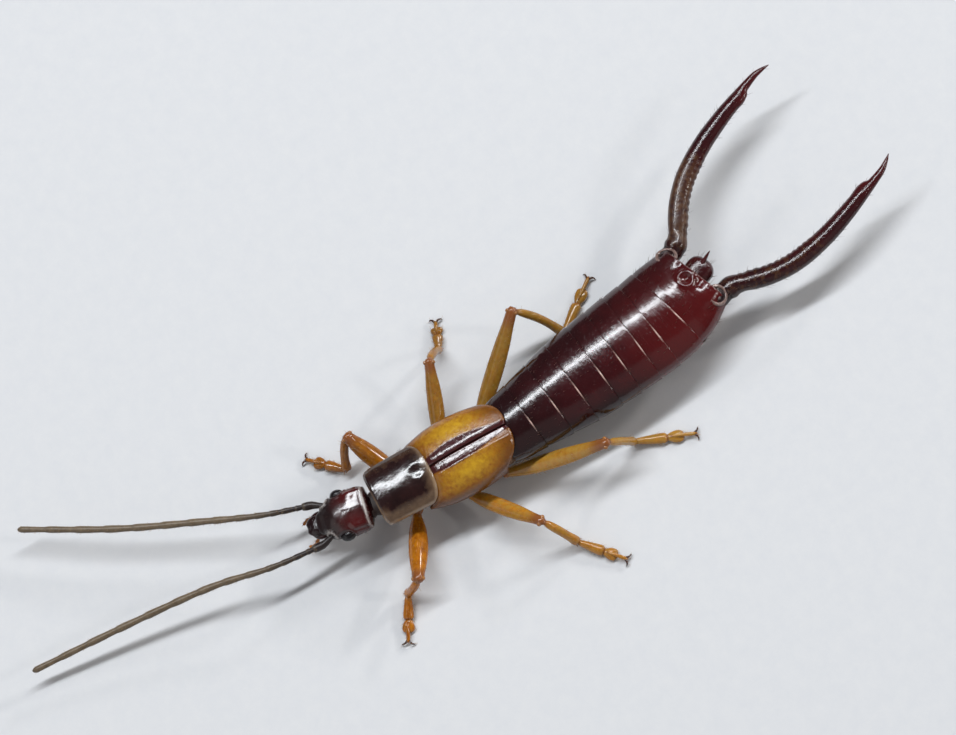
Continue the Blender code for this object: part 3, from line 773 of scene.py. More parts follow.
def tail_point(back, aside, up):
    """A place behind the last tergite, in the tail's own directions."""
    centre, side = abdomen_frame(abdomen_length() + GAP)
    return centre + Vector((-side.y, side.x, 0)) * back + side * aside + UP * up


def tail_turn():
    _, side = abdomen_frame(abdomen_length())
    return Matrix((side, Vector((-side.y, side.x, 0)), UP)).transposed()


# Where the arms of the forceps are rooted: distance behind the tail's edge, and aside
ARM_ROOT = (-0.26, 0.86)
ARM_ROOT_LEAN = radians(24)
ARM_ROOT_PITCH = radians(-22)


def arm_root(side, up):
    """Middle of the root of an arm at a height, and how the root is turned."""
    tilt = Matrix.Rotation(side * ARM_ROOT_LEAN, 3, "Y") @ Matrix.Rotation(ARM_ROOT_PITCH, 3, "X")
    return tail_point(ARM_ROOT[0], side * ARM_ROOT[1], up), tail_turn() @ tilt


# The round pit on the end plate: distance before its rear edge, and aside
MEDIAN_PIT = (-0.30, 0.0)


def end_plate_relief(back, aside):
    """A round pit in the middle with a raised lip, and swellings over the roots of the forceps."""
    from_pit = hypot(back - MEDIAN_PIT[0], aside - MEDIAN_PIT[1])
    pit = 0.045 * bell(from_pit - 0.20, 0.075) - 0.060 * bell(from_pit, 0.12)
    hollow = -0.05 * bell(abs(aside) - 0.36, 0.12) * ease((back + 0.45) / 0.35)
    swelling = 0.045 * bell(abs(aside) - 0.80, 0.24) * ease((back + 0.7) / 0.4)
    return pit + hollow + swelling


# Share of the plate's length, and how far its end has closed in there
END_PLATE_LINES = [(share, 0.0) for share in steps_between(0, 0.965, 56)]
END_PLATE_LINES += [(0.975, 0.008), (0.985, 0.02), (0.994, 0.04), (1.0, 0.075)]
END_PLATE_LINES += [(1.0, 0.12), (0.985, 0.16), (0.95, 0.20)]

END_PLATE_SIDES = 160

# Radius, thickness and height of the ring round the root of an arm
ARM_RING = (0.250, 0.050, 0.060)


def end_plate(material):
    """The large last plate, with a raised ring round the root of each arm of the forceps."""
    form = Form()
    start = sum(SEGMENT_LENGTHS) - 0.05
    end = abdomen_length()

    def spot(line, angle):
        share, closing = line
        distance = start + (end - start) * share
        inset = SEGMENT_STEP * (1 - ease(share * 4)) + closing
        aside = curve_value(ABDOMEN_ROWS, distance)[0] * squircle(angle, ABDOMEN_SQUARENESS)[0]
        relief = end_plate_relief(distance - end, aside) * ease(sin(angle) * 3)
        # The recessed rear face is painted near black and loses its red: dark membrane and painted shade in
        # the recess.
        recess = ease((closing - 0.06) / 0.06)
        return abdomen_point(distance, angle, inset - relief), None, {
            "rim": 0.15 * (0.01 < closing < 0.1),
            "along": distance,
            "underside": lowness(angle),
            "shade": max(side_shade(angle), recess),
            "glow": redness(angle) * (1 - recess),
        }

    form.add_skin(END_PLATE_LINES, turns(END_PLATE_SIDES, 0.5), spot)
    radius, thickness, height = ARM_RING
    for side in (-1, 1):
        centre, turn = arm_root(side, 0.30)
        rings = []
        for angle in turns(56):
            ring = []
            for bend in turns(14):
                reach = radius + thickness * cos(bend)
                spot = Vector((cos(angle) * reach, sin(angle) * reach, height * sin(bend)))
                ring.append(centre + turn @ spot)
            rings.append(ring)
        # The pale paint on each ring round an arm's root is a painted glint.
        form.add_grid(rings, hoop=True, rim=0.30, shade=0.5)
    return make_piece("end_plate", form, material, ["last_tergite"])


# Distance back, half width, height above and depth below the middle of the plate between the forceps
PYGIDIUM_ROWS = [
    (-0.30, 0.36, 0.24, 0.24),
    (-0.05, 0.38, 0.26, 0.26),
    (0.12, 0.37, 0.27, 0.25),
    (0.22, 0.32, 0.25, 0.22),
    (0.30, 0.23, 0.18, 0.15),
    (0.34, 0.12, 0.09, 0.08),
]
PYGIDIUM_SQUARENESS = 2.6
PYGIDIUM_HEIGHT = 0.06
SPINE_GUIDES = [(0.10, 0, 0.22), (0.24, 0, 0.31), (0.38, 0, 0.40), (0.53, 0, 0.49)]
SPINE_RADIUS = 0.075


def pygidium(material):
    """The small plate between the forceps, with its upturned spine."""
    form = Form()
    form.add_plate(PYGIDIUM_ROWS, 20, 40, PYGIDIUM_SQUARENESS,
                   lambda back, aside, up: tail_point(back, aside, PYGIDIUM_HEIGHT + up), glow=0.3)
    spine = smooth_path([tail_point(*guide) for guide in SPINE_GUIDES], 16)
    sizes = [SPINE_RADIUS * (1 - share) ** 0.7 + 0.006 for share in steps_between(0, 1, 16)]
    form.add_sweep(spine, sizes, 16, glow=0.6)
    return make_piece("pygidium_plate", form, material, ["pygidium"])


# Share of the length, sideways reach, height and radius of a forceps arm
FORCEPS_ROWS = [
    (0.00, 0.88, 0.00, 0.26),
    (0.05, 0.98, 0.01, 0.265),
    (0.10, 1.18, 0.02, 0.255),
    (0.20, 1.58, 0.05, 0.25),
    (0.33, 1.90, 0.09, 0.25),
    (0.50, 2.08, 0.14, 0.24),
    (0.65, 2.13, 0.18, 0.215),
    (0.76, 2.135, 0.205, 0.185),
    (0.82, 2.16, 0.215, 0.135),
    (0.86, 2.165, 0.225, 0.112),
    (0.92, 2.15, 0.24, 0.085),
    (0.97, 2.08, 0.255, 0.045),
    (1.00, 2.02, 0.26, 0.010),
]
FORCEPS_TOOTH_SHARE = 0.81
FORCEPS_TOOTH_HEIGHT = 0.42
FORCEPS_SIDES = 32

# The knobs on the inner edge: their height, how fast they follow each other and where they end
KNOB_HEIGHT = 0.13
KNOB_PACE = 95
KNOB_END = 0.45

# The arm starts this share of its length inside the tail
FORCEPS_START = -0.05

# How dull the root of each arm is, and how much painted sheen it carries: most on the right arm, where a
# broad reflection falls
ARM_DULLING_AND_SHEEN = {"left": 0.1, "right": 0.9}


def forceps_arm(side_name, side, material):
    """A long curved arm: knobbly near its root on the inner edge, with one blunt tooth near the tip."""
    form = Form()
    shares = [FORCEPS_START, -0.03] + steps_between(0, 1, 130)
    points = []
    radii = []
    glows = []
    inner_angle = pi if side > 0 else 0
    for share in shares:
        aside, up, radius = curve_value(FORCEPS_ROWS, share)
        points.append(tail_point(share * FORCEPS_LENGTH, side * aside, up))
        radii.append(radius + 0.03 * bell(share - 0.03, 0.02) - 0.03 * bell(share - 0.085, 0.025))
        tip = 0.12 + 0.40 * ease((share - 0.60) / 0.35)
        edge = 0.3 * ease((share - 0.1) / 0.3)
        inner = [max(cos(angle - inner_angle), 0) for angle in turns(FORCEPS_SIDES)]
        glows.append([tip + edge * value**2 for value in inner])

    def section(position, angle):
        share = FORCEPS_START + (1 - FORCEPS_START) * position
        inner = max(cos(angle - inner_angle), 0) ** 4
        knobs = KNOB_HEIGHT * abs(sin(share * KNOB_PACE)) * ease((KNOB_END - share) / 0.08) * (share > 0.04)
        rising = ease((share - FORCEPS_TOOTH_SHARE + 0.10) / 0.095)
        falling = 1 - ease((share - FORCEPS_TOOTH_SHARE) / 0.022)
        return 1 + 0.04 * cos(2 * angle) + inner * (knobs + FORCEPS_TOOTH_HEIGHT * rising * falling)

    # The dull root also carries a painted sheen of reflected light, a third as strong.
    worn = [ARM_DULLING_AND_SHEEN[side_name] * ease(share / 0.06) * (1 - ease((share - 0.32) / 0.16)) for share in shares]
    form.add_sweep(points, radii, FORCEPS_SIDES, 0.92, shape=section, glow=glows, worn=worn,
                   shade=[0.45 * (1 - ease(share / 0.4)) for share in shares],
                   gilt=[value * 0.33 for value in worn])
    centre, turn = arm_root(side, 0.26)
    form.add_dome(centre, (0.25, 0.25, 0.12), turn, 40, shade=0.5)
    return make_piece("forceps_arm_" + side_name, form, material, ["forceps_" + side_name])


# Wing cases and pronotum


def pronotum_rear_edge(up, squareness):
    """Where the shield ends: furthest back on top. up is the height on the unit arch of that squareness."""
    return PRONOTUM_SIDE_REAR + PRONOTUM_REAR_BULGE * max(up, 0) ** (0.4 * squareness)


# Share of the length, half width and rise of a wing case
TEGMEN_ROWS = [
    (0.0, 0.88, 0.47),
    (0.10, 0.96, 0.565),
    (0.35, 1.07, 0.67),
    (0.7, 1.08, 0.69),
    (1.0, 0.98, 0.66),
]
TEGMEN_THICKNESS = 0.07
TEGMEN_SQUARENESS = 2.3
TEGMEN_SKIRT = radians(-12)
TEGMEN_LINES = 71
TEGMEN_COLUMNS = 111
SEAM_HALF_GAP = 0.012

# Share of the length and half width of the dark stripe along the seam
STRIPE_ROWS = [(0.0, 0.21), (0.3, 0.33), (0.55, 0.30), (0.8, 0.19), (1.0, 0.11)]

# The left case has a low ridge beside the seam, and slopes down from it to the seam
SEAM_RIDGE = 0.30
SEAM_SLOPE = 0.175
SEAM_FLATTENING = 0.30

# The right case has a low ridge beside the seam
RIGHT_RIDGE = 0.12


def tegmen(side_name, side, material):
    """A thin leathery case, rounded down to the seam, with a dark stripe along it."""
    form = Form()

    def spot(share, angle):
        half_width, rise = curve_value(TEGMEN_ROWS, share)
        across, up = squircle(angle, TEGMEN_SQUARENESS)
        front = pronotum_rear_edge(up, TEGMEN_SQUARENESS) - 0.10
        rear = TEGMEN_REAR - 0.58 * abs(across) ** 3.4 - 0.05 * bell(across, 0.10)
        x = SEAM_HALF_GAP + (half_width - SEAM_HALF_GAP) * across
        y = front + share * (rear - front)
        edge_fall = 0.045 * (1 - ease((1 - share) / 0.04)) + 0.03 * (1 - ease(share / 0.04))
        z = TEGMEN_AXIS_HEIGHT + rise * up - edge_fall - 0.018 * bell(x, 0.018)
        if side_name == "left":
            ridge_up = (1 - (SEAM_RIDGE / half_width) ** TEGMEN_SQUARENESS) ** (1 / TEGMEN_SQUARENESS)
            in_from_ridge = SEAM_RIDGE - x
            fall = SEAM_SLOPE * in_from_ridge - SEAM_FLATTENING * in_from_ridge**2
            z += (rise * (ridge_up - up) - fall) * ease(in_from_ridge / 0.12 + 0.5)
        else:
            z += 0.010 * bell(x - RIGHT_RIDGE, 0.12)
        under = Vector((across, 0, max(up, 0))).normalized() * TEGMEN_THICKNESS
        inside = Vector((side * max(x - under.x, SEAM_HALF_GAP), y, z - under.z))
        stripe_width = curve_value(STRIPE_ROWS, share)[0]
        ends = ease((share - 0.68) / 0.30) * 0.75 + ease((0.16 - share) / 0.16) * 0.45
        return Vector((side * x, y, z)), inside, {
            "stripe": ease((stripe_width - x) / 0.07 + 0.5),
            "shade": min(ends + ease((radians(36) - angle) / 0.5), 1),
            "along": y,
            "blaze": 0.9 * bell(x - 0.60, 0.26) * bell(share - 0.46, 0.30),
        }

    columns = steps_between(TEGMEN_SKIRT, pi / 2, TEGMEN_COLUMNS)
    form.add_skin(steps_between(0, 1, TEGMEN_LINES), columns, spot)
    return make_piece("wing_case_" + side_name, form, material, ["tegmen_" + side_name])


PRONOTUM_THICKNESS = 0.08
PRONOTUM_SQUARENESS = 2.7
PRONOTUM_LINES = 97
PRONOTUM_COLUMNS = 151

# The shield's skirts end this far above its middle line
PRONOTUM_SKIRT = radians(4)

# Share of the length and half width
PRONOTUM_ROWS = [
    (0.0, PRONOTUM_HALF_WIDTHS[0]),
    (0.12, PRONOTUM_HALF_WIDTHS[0] + 0.03),
    (0.5, PRONOTUM_HALF_WIDTHS[1] * 0.98),
    (1.0, PRONOTUM_HALF_WIDTHS[1]),
]


def pronotum_relief(x, y):
    """A low swelling in front, and a round dimple behind it."""
    ridge = 0.021 * bell(x - 0.12, 0.30) * bell(y + 1.02, 0.42)
    from_dimple = hypot(x + 0.05, y + 0.37)
    dimple = 0.004 * bell(from_dimple - 0.21, 0.08) - 0.014 * bell(from_dimple, 0.14)
    return ridge + dimple


def pronotum(material):
    """The square shield, glossy and humped, with clear rims at its sides and rear."""
    form = Form()

    def spot(share, angle):
        across, up = squircle(angle, PRONOTUM_SQUARENESS)
        front = PRONOTUM_FRONT + 0.07 * abs(across) ** 10
        length = pronotum_rear_edge(up, PRONOTUM_SQUARENESS) - front
        x = curve_value(PRONOTUM_ROWS, share)[0] * across
        to_front = share * length
        to_rear = (1 - share) * length
        y = front + to_front
        z = PRONOTUM_EDGE_HEIGHT + PRONOTUM_RISE * 0.95 * up
        side_flat = ease((abs(across) - 0.86) / 0.14)
        z += pronotum_relief(x, y) * (1 - side_flat) + 0.04 * side_flat * bell(abs(across) - 1.0, 0.08)
        z -= 0.07 * (1 - ease(to_front / 0.07)) ** 2 + 0.03 * (1 - ease(to_rear / 0.05)) ** 2
        z += 0.014 * bell(to_front - 0.08, 0.03) - 0.05 * (1 - ease(to_front / 0.30)) ** 2
        place = Vector((x, y, z))
        # Rims and haze are painted paler on the left side, where the light falls: painted light over the
        # clear margins' own tone.
        leftness = ease(across * 0.9 + 0.5)
        side_rim = (0.25 + 0.55 * leftness) * ease((abs(across) - 0.93) / 0.05)
        front_rim = (0.12 + 0.5 * leftness) * (1 - ease((to_front - 0.02) / 0.04))
        rear_rim = (0.35 + 0.4 * leftness) * (1 - ease((to_rear - 0.04) / 0.08))
        haze = ease((0.34 - to_rear) / 0.3) + ease((abs(across) - 0.62) / 0.26)
        haze += ease((0.32 - to_front) / 0.30) * ease((across - 0.35) / 0.4)
        return place, place - Vector((across, 0, up)).normalized() * PRONOTUM_THICKNESS, {
            "rim": max(side_rim, front_rim, rear_rim),
            "haze": (0.25 + 0.6 * leftness) * min(haze, 1),
        }

    columns = steps_between(PRONOTUM_SKIRT, pi - PRONOTUM_SKIRT, PRONOTUM_COLUMNS)
    form.add_skin(steps_between(0, 1, PRONOTUM_LINES), columns, spot)
    return make_piece("pronotum_shield", form, material, ["pronotum"])


# Distance back, half width, height above and depth below the thorax's middle
THORAX_ROWS = [
    (-2.02, 0.30, 0.17, 0.17),
    (-1.66, 0.36, 0.20, 0.20),
    (-1.48, 0.56, 0.42, 0.24),
    (-1.30, 0.64, 0.52, 0.28),
    (-0.80, 0.66, 0.54, 0.34),
    (-0.20, 0.66, 0.54, 0.30),
    (0.35, 0.78, 0.54, 0.36),
    (0.85, 0.76, 0.56, 0.32),
    (1.40, 0.80, 0.56, 0.36),
    (2.20, 0.78, 0.52, 0.34),
    (2.60, 0.70, 0.44, 0.32),
]

THORAX_SQUARENESS = 2.4
THORAX_LINES = 120
THORAX_SIDES = 64

# Middle of each breast plate along the body, its half length and half width
BREAST_PLATES = [(-0.82, 0.42, 0.30), (0.38, 0.46, 0.38), (1.48, 0.50, 0.40)]


def thorax(material):
    """The skin of the neck and thorax: soft folds, and a harder breast plate between each pair of legs."""
    form = Form()

    def spot(y, angle):
        half_width, rise, drop = curve_value(THORAX_ROWS, y)
        across, up = squircle(angle, THORAX_SQUARENESS)
        across *= half_width
        plate = 0
        for middle, half_length, half_plate in BREAST_PLATES:
            reach = max(abs(y - middle) / half_length, abs(across) / half_plate)
            plate = max(plate, ease((1 - reach) / 0.15) * (up < 0))
        folds = 0.012 * sin(y * 42) * ease((-1.25 - y) / 0.2)
        wrinkle = 0.010 * sin(y * 30 + across * 9) * (1 - plate)
        swell = 1 + (folds + wrinkle + 0.035 * plate) / half_width
        place = Vector((0, y, THORAX_HEIGHT)) + Vector((across, 0, (rise if up > 0 else drop) * up)) * swell
        # Darker at the neck, between head and shield: the neck's dark tone and painted shade in the gap.
        return place, None, {"plate": plate, "shade": ease((-1.40 - y) / 0.2)}

    lines = steps_between(THORAX_ROWS[0][0], THORAX_ROWS[-1][0], THORAX_LINES)
    form.add_skin(lines, turns(THORAX_SIDES, 0.5), spot)
    return make_piece("thorax_skin", form, material, ["thorax"])


# Head
HEAD_TURN = Matrix.Rotation(-HEAD_YAW, 3, "Z") @ Matrix.Rotation(HEAD_PITCH, 3, "X")


def head_point(forward, aside, up):
    """A place on the head, turned with it about the neck."""
    clearance = GAP + NECK_HALF_WIDTH * sin(HEAD_YAW)
    neck = Vector((0, THORAX_FRONT - clearance, HEAD_HEIGHT))
    return neck + HEAD_TURN @ Vector((aside, -forward, up))


# Forward, half width, height above and depth below the head's middle line
HEAD_ROWS = [
    (-0.02, 0.25, 0.14, 0.14),
    (0.04, 0.30, 0.17, 0.16),
    (0.08, 0.42, 0.22, 0.19),
    (0.13, 0.53, 0.265, 0.22),
    (0.22, 0.60, 0.315, 0.25),
    (0.42, 0.63, 0.35, 0.27),
    (0.84, 0.61, 0.37, 0.30),
    (1.12, 0.53, 0.33, 0.28),
    (1.30, 0.44, 0.25, 0.24),
    (1.43, 0.34, 0.17, 0.20),
    (1.55, 0.26, 0.11, 0.14),
    (1.60, 0.16, 0.06, 0.08),
]
HEAD_SUTURES = [
    ((0.24, 0.0), (0.72, 0.0)),
    ((0.72, 0.0), (1.08, 0.36)),
    ((0.72, 0.0), (1.08, -0.36)),
    ((1.34, -0.26), (1.34, 0.26)),
]
HEAD_SQUARENESS = 2.3
HEAD_LINES = 130
HEAD_SIDES = 180
SOCKET_PLACE = (1.22, 0.40, 0.06)

# The two flat lobes at the back of the head slope down from the middle line
LOBE_SLOPE = 0.055


def head_spot(forward, angle):
    """A place on the head, with its relief, and its painted masks."""
    half_width, rise, drop = curve_value(HEAD_ROWS, forward)
    across, lift = squircle(angle, HEAD_SQUARENESS)
    height = rise if lift > 0 else drop
    aside = half_width * across
    up = height * lift
    place = Vector((forward, abs(aside), up))
    to_eye = (place - Vector(EYE_PLACE)).length
    to_socket = (place - Vector(SOCKET_PLACE)).length
    to_sutures = [distance_to_line((forward, aside), *line) for line in HEAD_SUTURES]
    relief = 0.012 * bell(forward - 0.16, 0.030) - 0.010 * bell(forward - 0.22, 0.022)
    relief += 0.022 * bell(to_eye - 0.25, 0.035) - 0.04 * bell(to_eye, 0.14)
    relief += 0.055 * bell(to_socket - 0.14, 0.05) - 0.06 * bell(to_socket, 0.075)
    if up > 0:
        lobe = ease((0.56 - abs(aside)) / 0.14) * ease((0.74 - forward) / 0.22)
        relief += (rise - LOBE_SLOPE * abs(aside) - up) * lobe * ease((forward - 0.05) / 0.10)
        relief += 0.020 * bell(aside, 0.22) * bell(forward - 1.02, 0.16)
        relief -= 0.0045 * bell(hypot(abs(aside) - 0.36, forward - 0.41), 0.055)
        relief -= sum(0.0022 * bell(distance, 0.030) for distance in to_sutures)
    normal = Vector((across * height, 0, lift * half_width)).normalized()
    front = 0.85 * ease((forward - 0.75) / 0.4)
    neck = ease((0.10 - forward) / 0.05)
    suture = 0.5 * bell(min(to_sutures), 0.020) * (up > 0)
    # The hind rim is painted near white, brightest just right of the middle: a painted highlight along the
    # rim.
    hind_rim = (0.25 + 0.85 * bell(aside + 0.06, 0.32)) * bell(forward - 0.15, 0.026)
    return head_point(forward, aside, up) + HEAD_TURN @ normal * relief, None, {
        "rim": max(hind_rim, 0.3 * bell(to_socket - 0.15, 0.03)),
        "shade": max(front, neck, 0.7 * bell(to_eye - 0.22, 0.05), suture),
        "glow": 0.7 * bell(abs(aside) - 0.36, 0.25) * bell(forward - 0.45, 0.30) * (up > 0),
        "underside": 0.7 * ease(-lift * 2 - 0.2),
        "worn": 0.9 * ease((forward - 0.58) / 0.22),
    }


def head(material):
    """The head capsule, with its sutures, orbits, sockets and hind rim."""
    form = Form()
    lines = steps_between(HEAD_ROWS[0][0], HEAD_ROWS[-1][0], HEAD_LINES)
    form.add_skin(lines, turns(HEAD_SIDES, 0.5), head_spot)
    return make_piece("head_capsule", form, material, ["head"])


# How deep the furrows between the facets are, as a share of the eye, and how far out the facets are round
FACET_DEPTH = 0.016
FACET_REACH = 0.055


def eye(side_name, side, material):
    """A domed eye of many small round facets."""
    centres = bmesh.new()
    bmesh.ops.create_icosphere(centres, subdivisions=4, radius=1)
    tree = KDTree(len(centres.verts))
    for index, vertex in enumerate(centres.verts):
        tree.insert(vertex.co, index)
    tree.balance()
    centres.free()
    fine = bmesh.new()
    bmesh.ops.create_icosphere(fine, subdivisions=6, radius=1)
    form = Form()
    centre = head_point(EYE_PLACE[0], side * EYE_PLACE[1], EYE_PLACE[2])
    for vertex in fine.verts:
        _, _, distance = tree.find(vertex.co)
        facet = 1 - FACET_DEPTH * min(distance / FACET_REACH, 1) ** 2
        form.points.append(centre + HEAD_TURN @ on_oval(vertex.co * facet, EYE_RADII))
    form.faces = [tuple(vertex.index for vertex in face.verts) for face in fine.faces]
    fine.free()
    return make_piece("eye_lens_" + side_name, form, material, ["eye_" + side_name])


def mouth_point(forward, aside, up):
    return head_point(MOUTH_FORWARD + forward, aside, up)


def mouth_path(guides, side, count):
    """A smooth path through guides that are given for the left side."""
    return smooth_path([mouth_point(forward, side * aside, up) for forward, aside, up in guides], count)


# Forward, half width, height above and depth below the middle of the upper lip
LIP_ROWS = [
    (-0.14, 0.25, 0.10, 0.06),
    (0.0, 0.27, 0.10, 0.06),
    (0.14, 0.26, 0.085, 0.06),
    (0.24, 0.20, 0.05, 0.05),
    (0.30, 0.12, 0.02, 0.03),
]
LIP_SQUARENESS = 2.7
LOWER_LIP_GUIDES = [(-0.25, 0, -0.20), (-0.02, 0, -0.20), (0.16, 0, -0.17)]
LOWER_LIP_WIDTHS = [0.20, 0.21, 0.21, 0.20, 0.19, 0.18, 0.16, 0.14, 0.10, 0.05]
JAW_GUIDES = [(-0.16, 0.27, -0.08), (0.02, 0.27, -0.10), (0.16, 0.19, -0.11), (0.25, 0.05, -0.11)]
JAW_SIZES = [0.10, 0.105, 0.105, 0.10, 0.095, 0.09, 0.08, 0.07, 0.058, 0.045, 0.03, 0.012]
JAW_DARKS = [0.0, 0.0, 0.1, 0.2, 0.3, 0.4, 0.5, 0.7, 0.8, 0.9, 1.0, 1.0]

# Guides of each pair of palps, the lengths of their segments and their thickness
PALPS = [
    ([(-0.04, 0.16, -0.14), (0.10, 0.26, -0.22), (0.24, 0.34, -0.34), (0.37, 0.355, -0.46),
      (0.50, 0.30, -0.56)], [0.12, 0.14, 0.24, 0.24, 0.26], 0.058),
    ([(-0.02, 0.07, -0.22), (0.08, 0.12, -0.32), (0.18, 0.13, -0.42)], [0.3, 0.35, 0.35], 0.040),
]


def mouth(material):
    """Upper lip, jaws and lower lip."""
    form = Form()

    def lip_place(forward, aside, up):
        notch = 0.05 * bell(aside, 0.06) * ease((forward - 0.15) / 0.1)
        return mouth_point(forward - notch, aside, up - 0.01)

    form.add_plate(LIP_ROWS, 18, 36, LIP_SQUARENESS, lip_place, shade=0.4)
    lower = mouth_path(LOWER_LIP_GUIDES, 1, 10)
    form.add_sweep(lower, LOWER_LIP_WIDTHS, 24, heights=[0.05] * len(lower), underside=0.8)
    for side in (-1, 1):
        form.add_sweep(mouth_path(JAW_GUIDES, side, 12), JAW_SIZES, 18, 0.7, shade=JAW_DARKS, glow=0.15)
    return make_piece("mouth_plates", form, material, ["mouthparts"])


def palps(material):
    """The two pairs of small feelers under the mouth."""
    form = Form()
    for side in (-1, 1):
        for guides, lengths, radius in PALPS:
            add_beads(form, mouth_path(guides, side, 61), lengths, radius)
    return make_piece("palps", form, material, ["mouthparts"])


def bead_profile(share, first=0.66, last=0.62):
    """How wide a club-shaped segment is along its length, most near its far end."""
    if share < 0.82:
        return first + (1 - first) * ease(share / 0.82)
    return 1 - (1 - last) * ease((share - 0.82) / 0.18)


# These keep the rings of neighbouring segments from lying on each other
JOINT_SPACING = 0.0006
SEGMENT_FILL = 0.999


def add_beads(form, path, lengths, radius, sides=14, taper=0.25):
    """Adds a feeler of club-shaped segments, with shares of the length given."""
    total = sum(lengths)
    last = len(path) - 1
    sizes = []
    joints = []
    places = []
    start = 0
    for length in lengths:
        for inside in steps_between(0.0, 1.0, 9):
            share = (start + length * inside * SEGMENT_FILL) / total
            low = min(int(share * last), last - 1)
            places.append(path[low].lerp(path[low + 1], share * last - low))
            sizes.append(radius * (1 - taper * share) * bead_profile(inside))
            joints.append(0.9 if inside in (0.0, 1.0) else 0.0)
        start += length
    onward = (places[-1] - places[0]).normalized() * JOINT_SPACING
    places = [place + onward * index for index, place in enumerate(places)]
    sizes[-1] *= 0.4
    form.add_sweep(places, sizes, sides, joint=joints)


# Lengths of an antenna's segments, from the head out, before they are scaled to the whole
ANTENNA_SEGMENTS = [0.62, 0.16, 0.34, 0.30, 0.38, 0.48, 0.56, 0.62, 0.66, 0.70, 0.72, 0.74, 0.72, 0.68]
ANTENNA_GUIDES = {
    "left": [(0.20, -4.90, 1.20), (-0.17, -6.60, 1.05), (-0.42, -9.00, 0.82), (-0.61, -11.80, 0.60)],
    "right": [(-1.18, -4.50, 1.20), (-1.85, -6.00, 1.10), (-2.85, -8.10, 0.95), (-4.20, -10.45, 0.75)],
}

# Where the rings of a segment lie, as shares of its length
ANTENNA_RINGS = (0.01, 0.06, 0.16, 0.3, 0.45, 0.6, 0.74, 0.86, 0.94, 0.99)


def antenna(side_name, side, material):
    """A long thread of club-shaped segments, dark at its root and tan beyond."""
    form = Form()
    socket = head_point(SOCKET_PLACE[0] - 0.03, side * SOCKET_PLACE[1], SOCKET_PLACE[2])
    root = head_point(1.56, side * 0.56, 0.02)
    path = [socket] + smooth_path([root, *ANTENNA_GUIDES[side_name]], 241)
    reaches = list(accumulate([(after - before).length for before, after in zip(path, path[1:])], initial=0))
    total = sum(ANTENNA_SEGMENTS)
    places = []
    sizes = []
    joints = []
    darks = []
    start = 0
    for number, length in enumerate(ANTENNA_SEGMENTS):
        for inside in ANTENNA_RINGS:
            share = (start + length * inside) / total
            reach = share * reaches[-1]
            index = bisect_left(reaches, reach)
            part = (reach - reaches[index - 1]) / (reaches[index] - reaches[index - 1])
            places.append(path[index - 1].lerp(path[index], part))
            thread = 0.080 + 0.022 * ease((share - 0.12) / 0.30)
            thread -= 0.016 * ease((share - 0.70) / 0.30)
            thick = {0: 0.115, 1: 0.08}.get(number, thread)
            low_end = 0.55 if number == 0 else 0.84
            sizes.append(thick * bead_profile(inside, low_end, 0.84))
            joints.append(0.45 if inside < 0.05 or inside > 0.93 else 0.0)
            darks.append(1 - ease((share - 0.10) / 0.22))
        start += length
    sizes[-1] *= 0.35
    sizes[-2] *= 0.8
    form.add_sweep(places, sizes, 18, joint=joints, base=darks)
    return make_piece("feeler_" + side_name, form, material, ["antenna_" + side_name])


# Legs


def at_height(place, height):
    return Vector((place[0], place[1], height))


FEMUR_ROWS = [
    (0.0, 0.46, 0.52), (0.06, 0.62, 0.66), (0.22, 0.90, 0.86), (0.45, 1.0, 0.95), (0.70, 0.90, 0.86),
    (0.88, 0.70, 0.72), (0.95, 0.66, 0.70), (1.0, 0.58, 0.60), (1.03, 0.36, 0.40),
]
TIBIA_ROWS = [
    (0.0, 0.48), (0.04, 0.62), (0.08, 0.56), (0.16, 0.80), (0.35, 0.92), (0.70, 0.92), (0.92, 1.05),
    (0.98, 0.96), (1.0, 0.70),
]

# Thickness of the thigh, and how olive the leg is
LEG_LOOKS = {"front": (0.25, 0.0), "middle": (0.205, 0.45), "hind": (0.225, 0.65)}
THIGH_FLATNESS = 0.82
SHIN_THICKNESS = 0.126
SHIN_BOW = 0.05
COXA_SIZES = [0.25, 0.25, 0.25, 0.245, 0.24, 0.235, 0.23, 0.22, 0.205, 0.19, 0.17, 0.15, 0.13, 0.09]
COXA_TINTS = [0.0] * 10 + [0.3, 0.7, 1.0, 1.0]
SPUR_SIZES = [0.020, 0.018, 0.014, 0.009, 0.002]


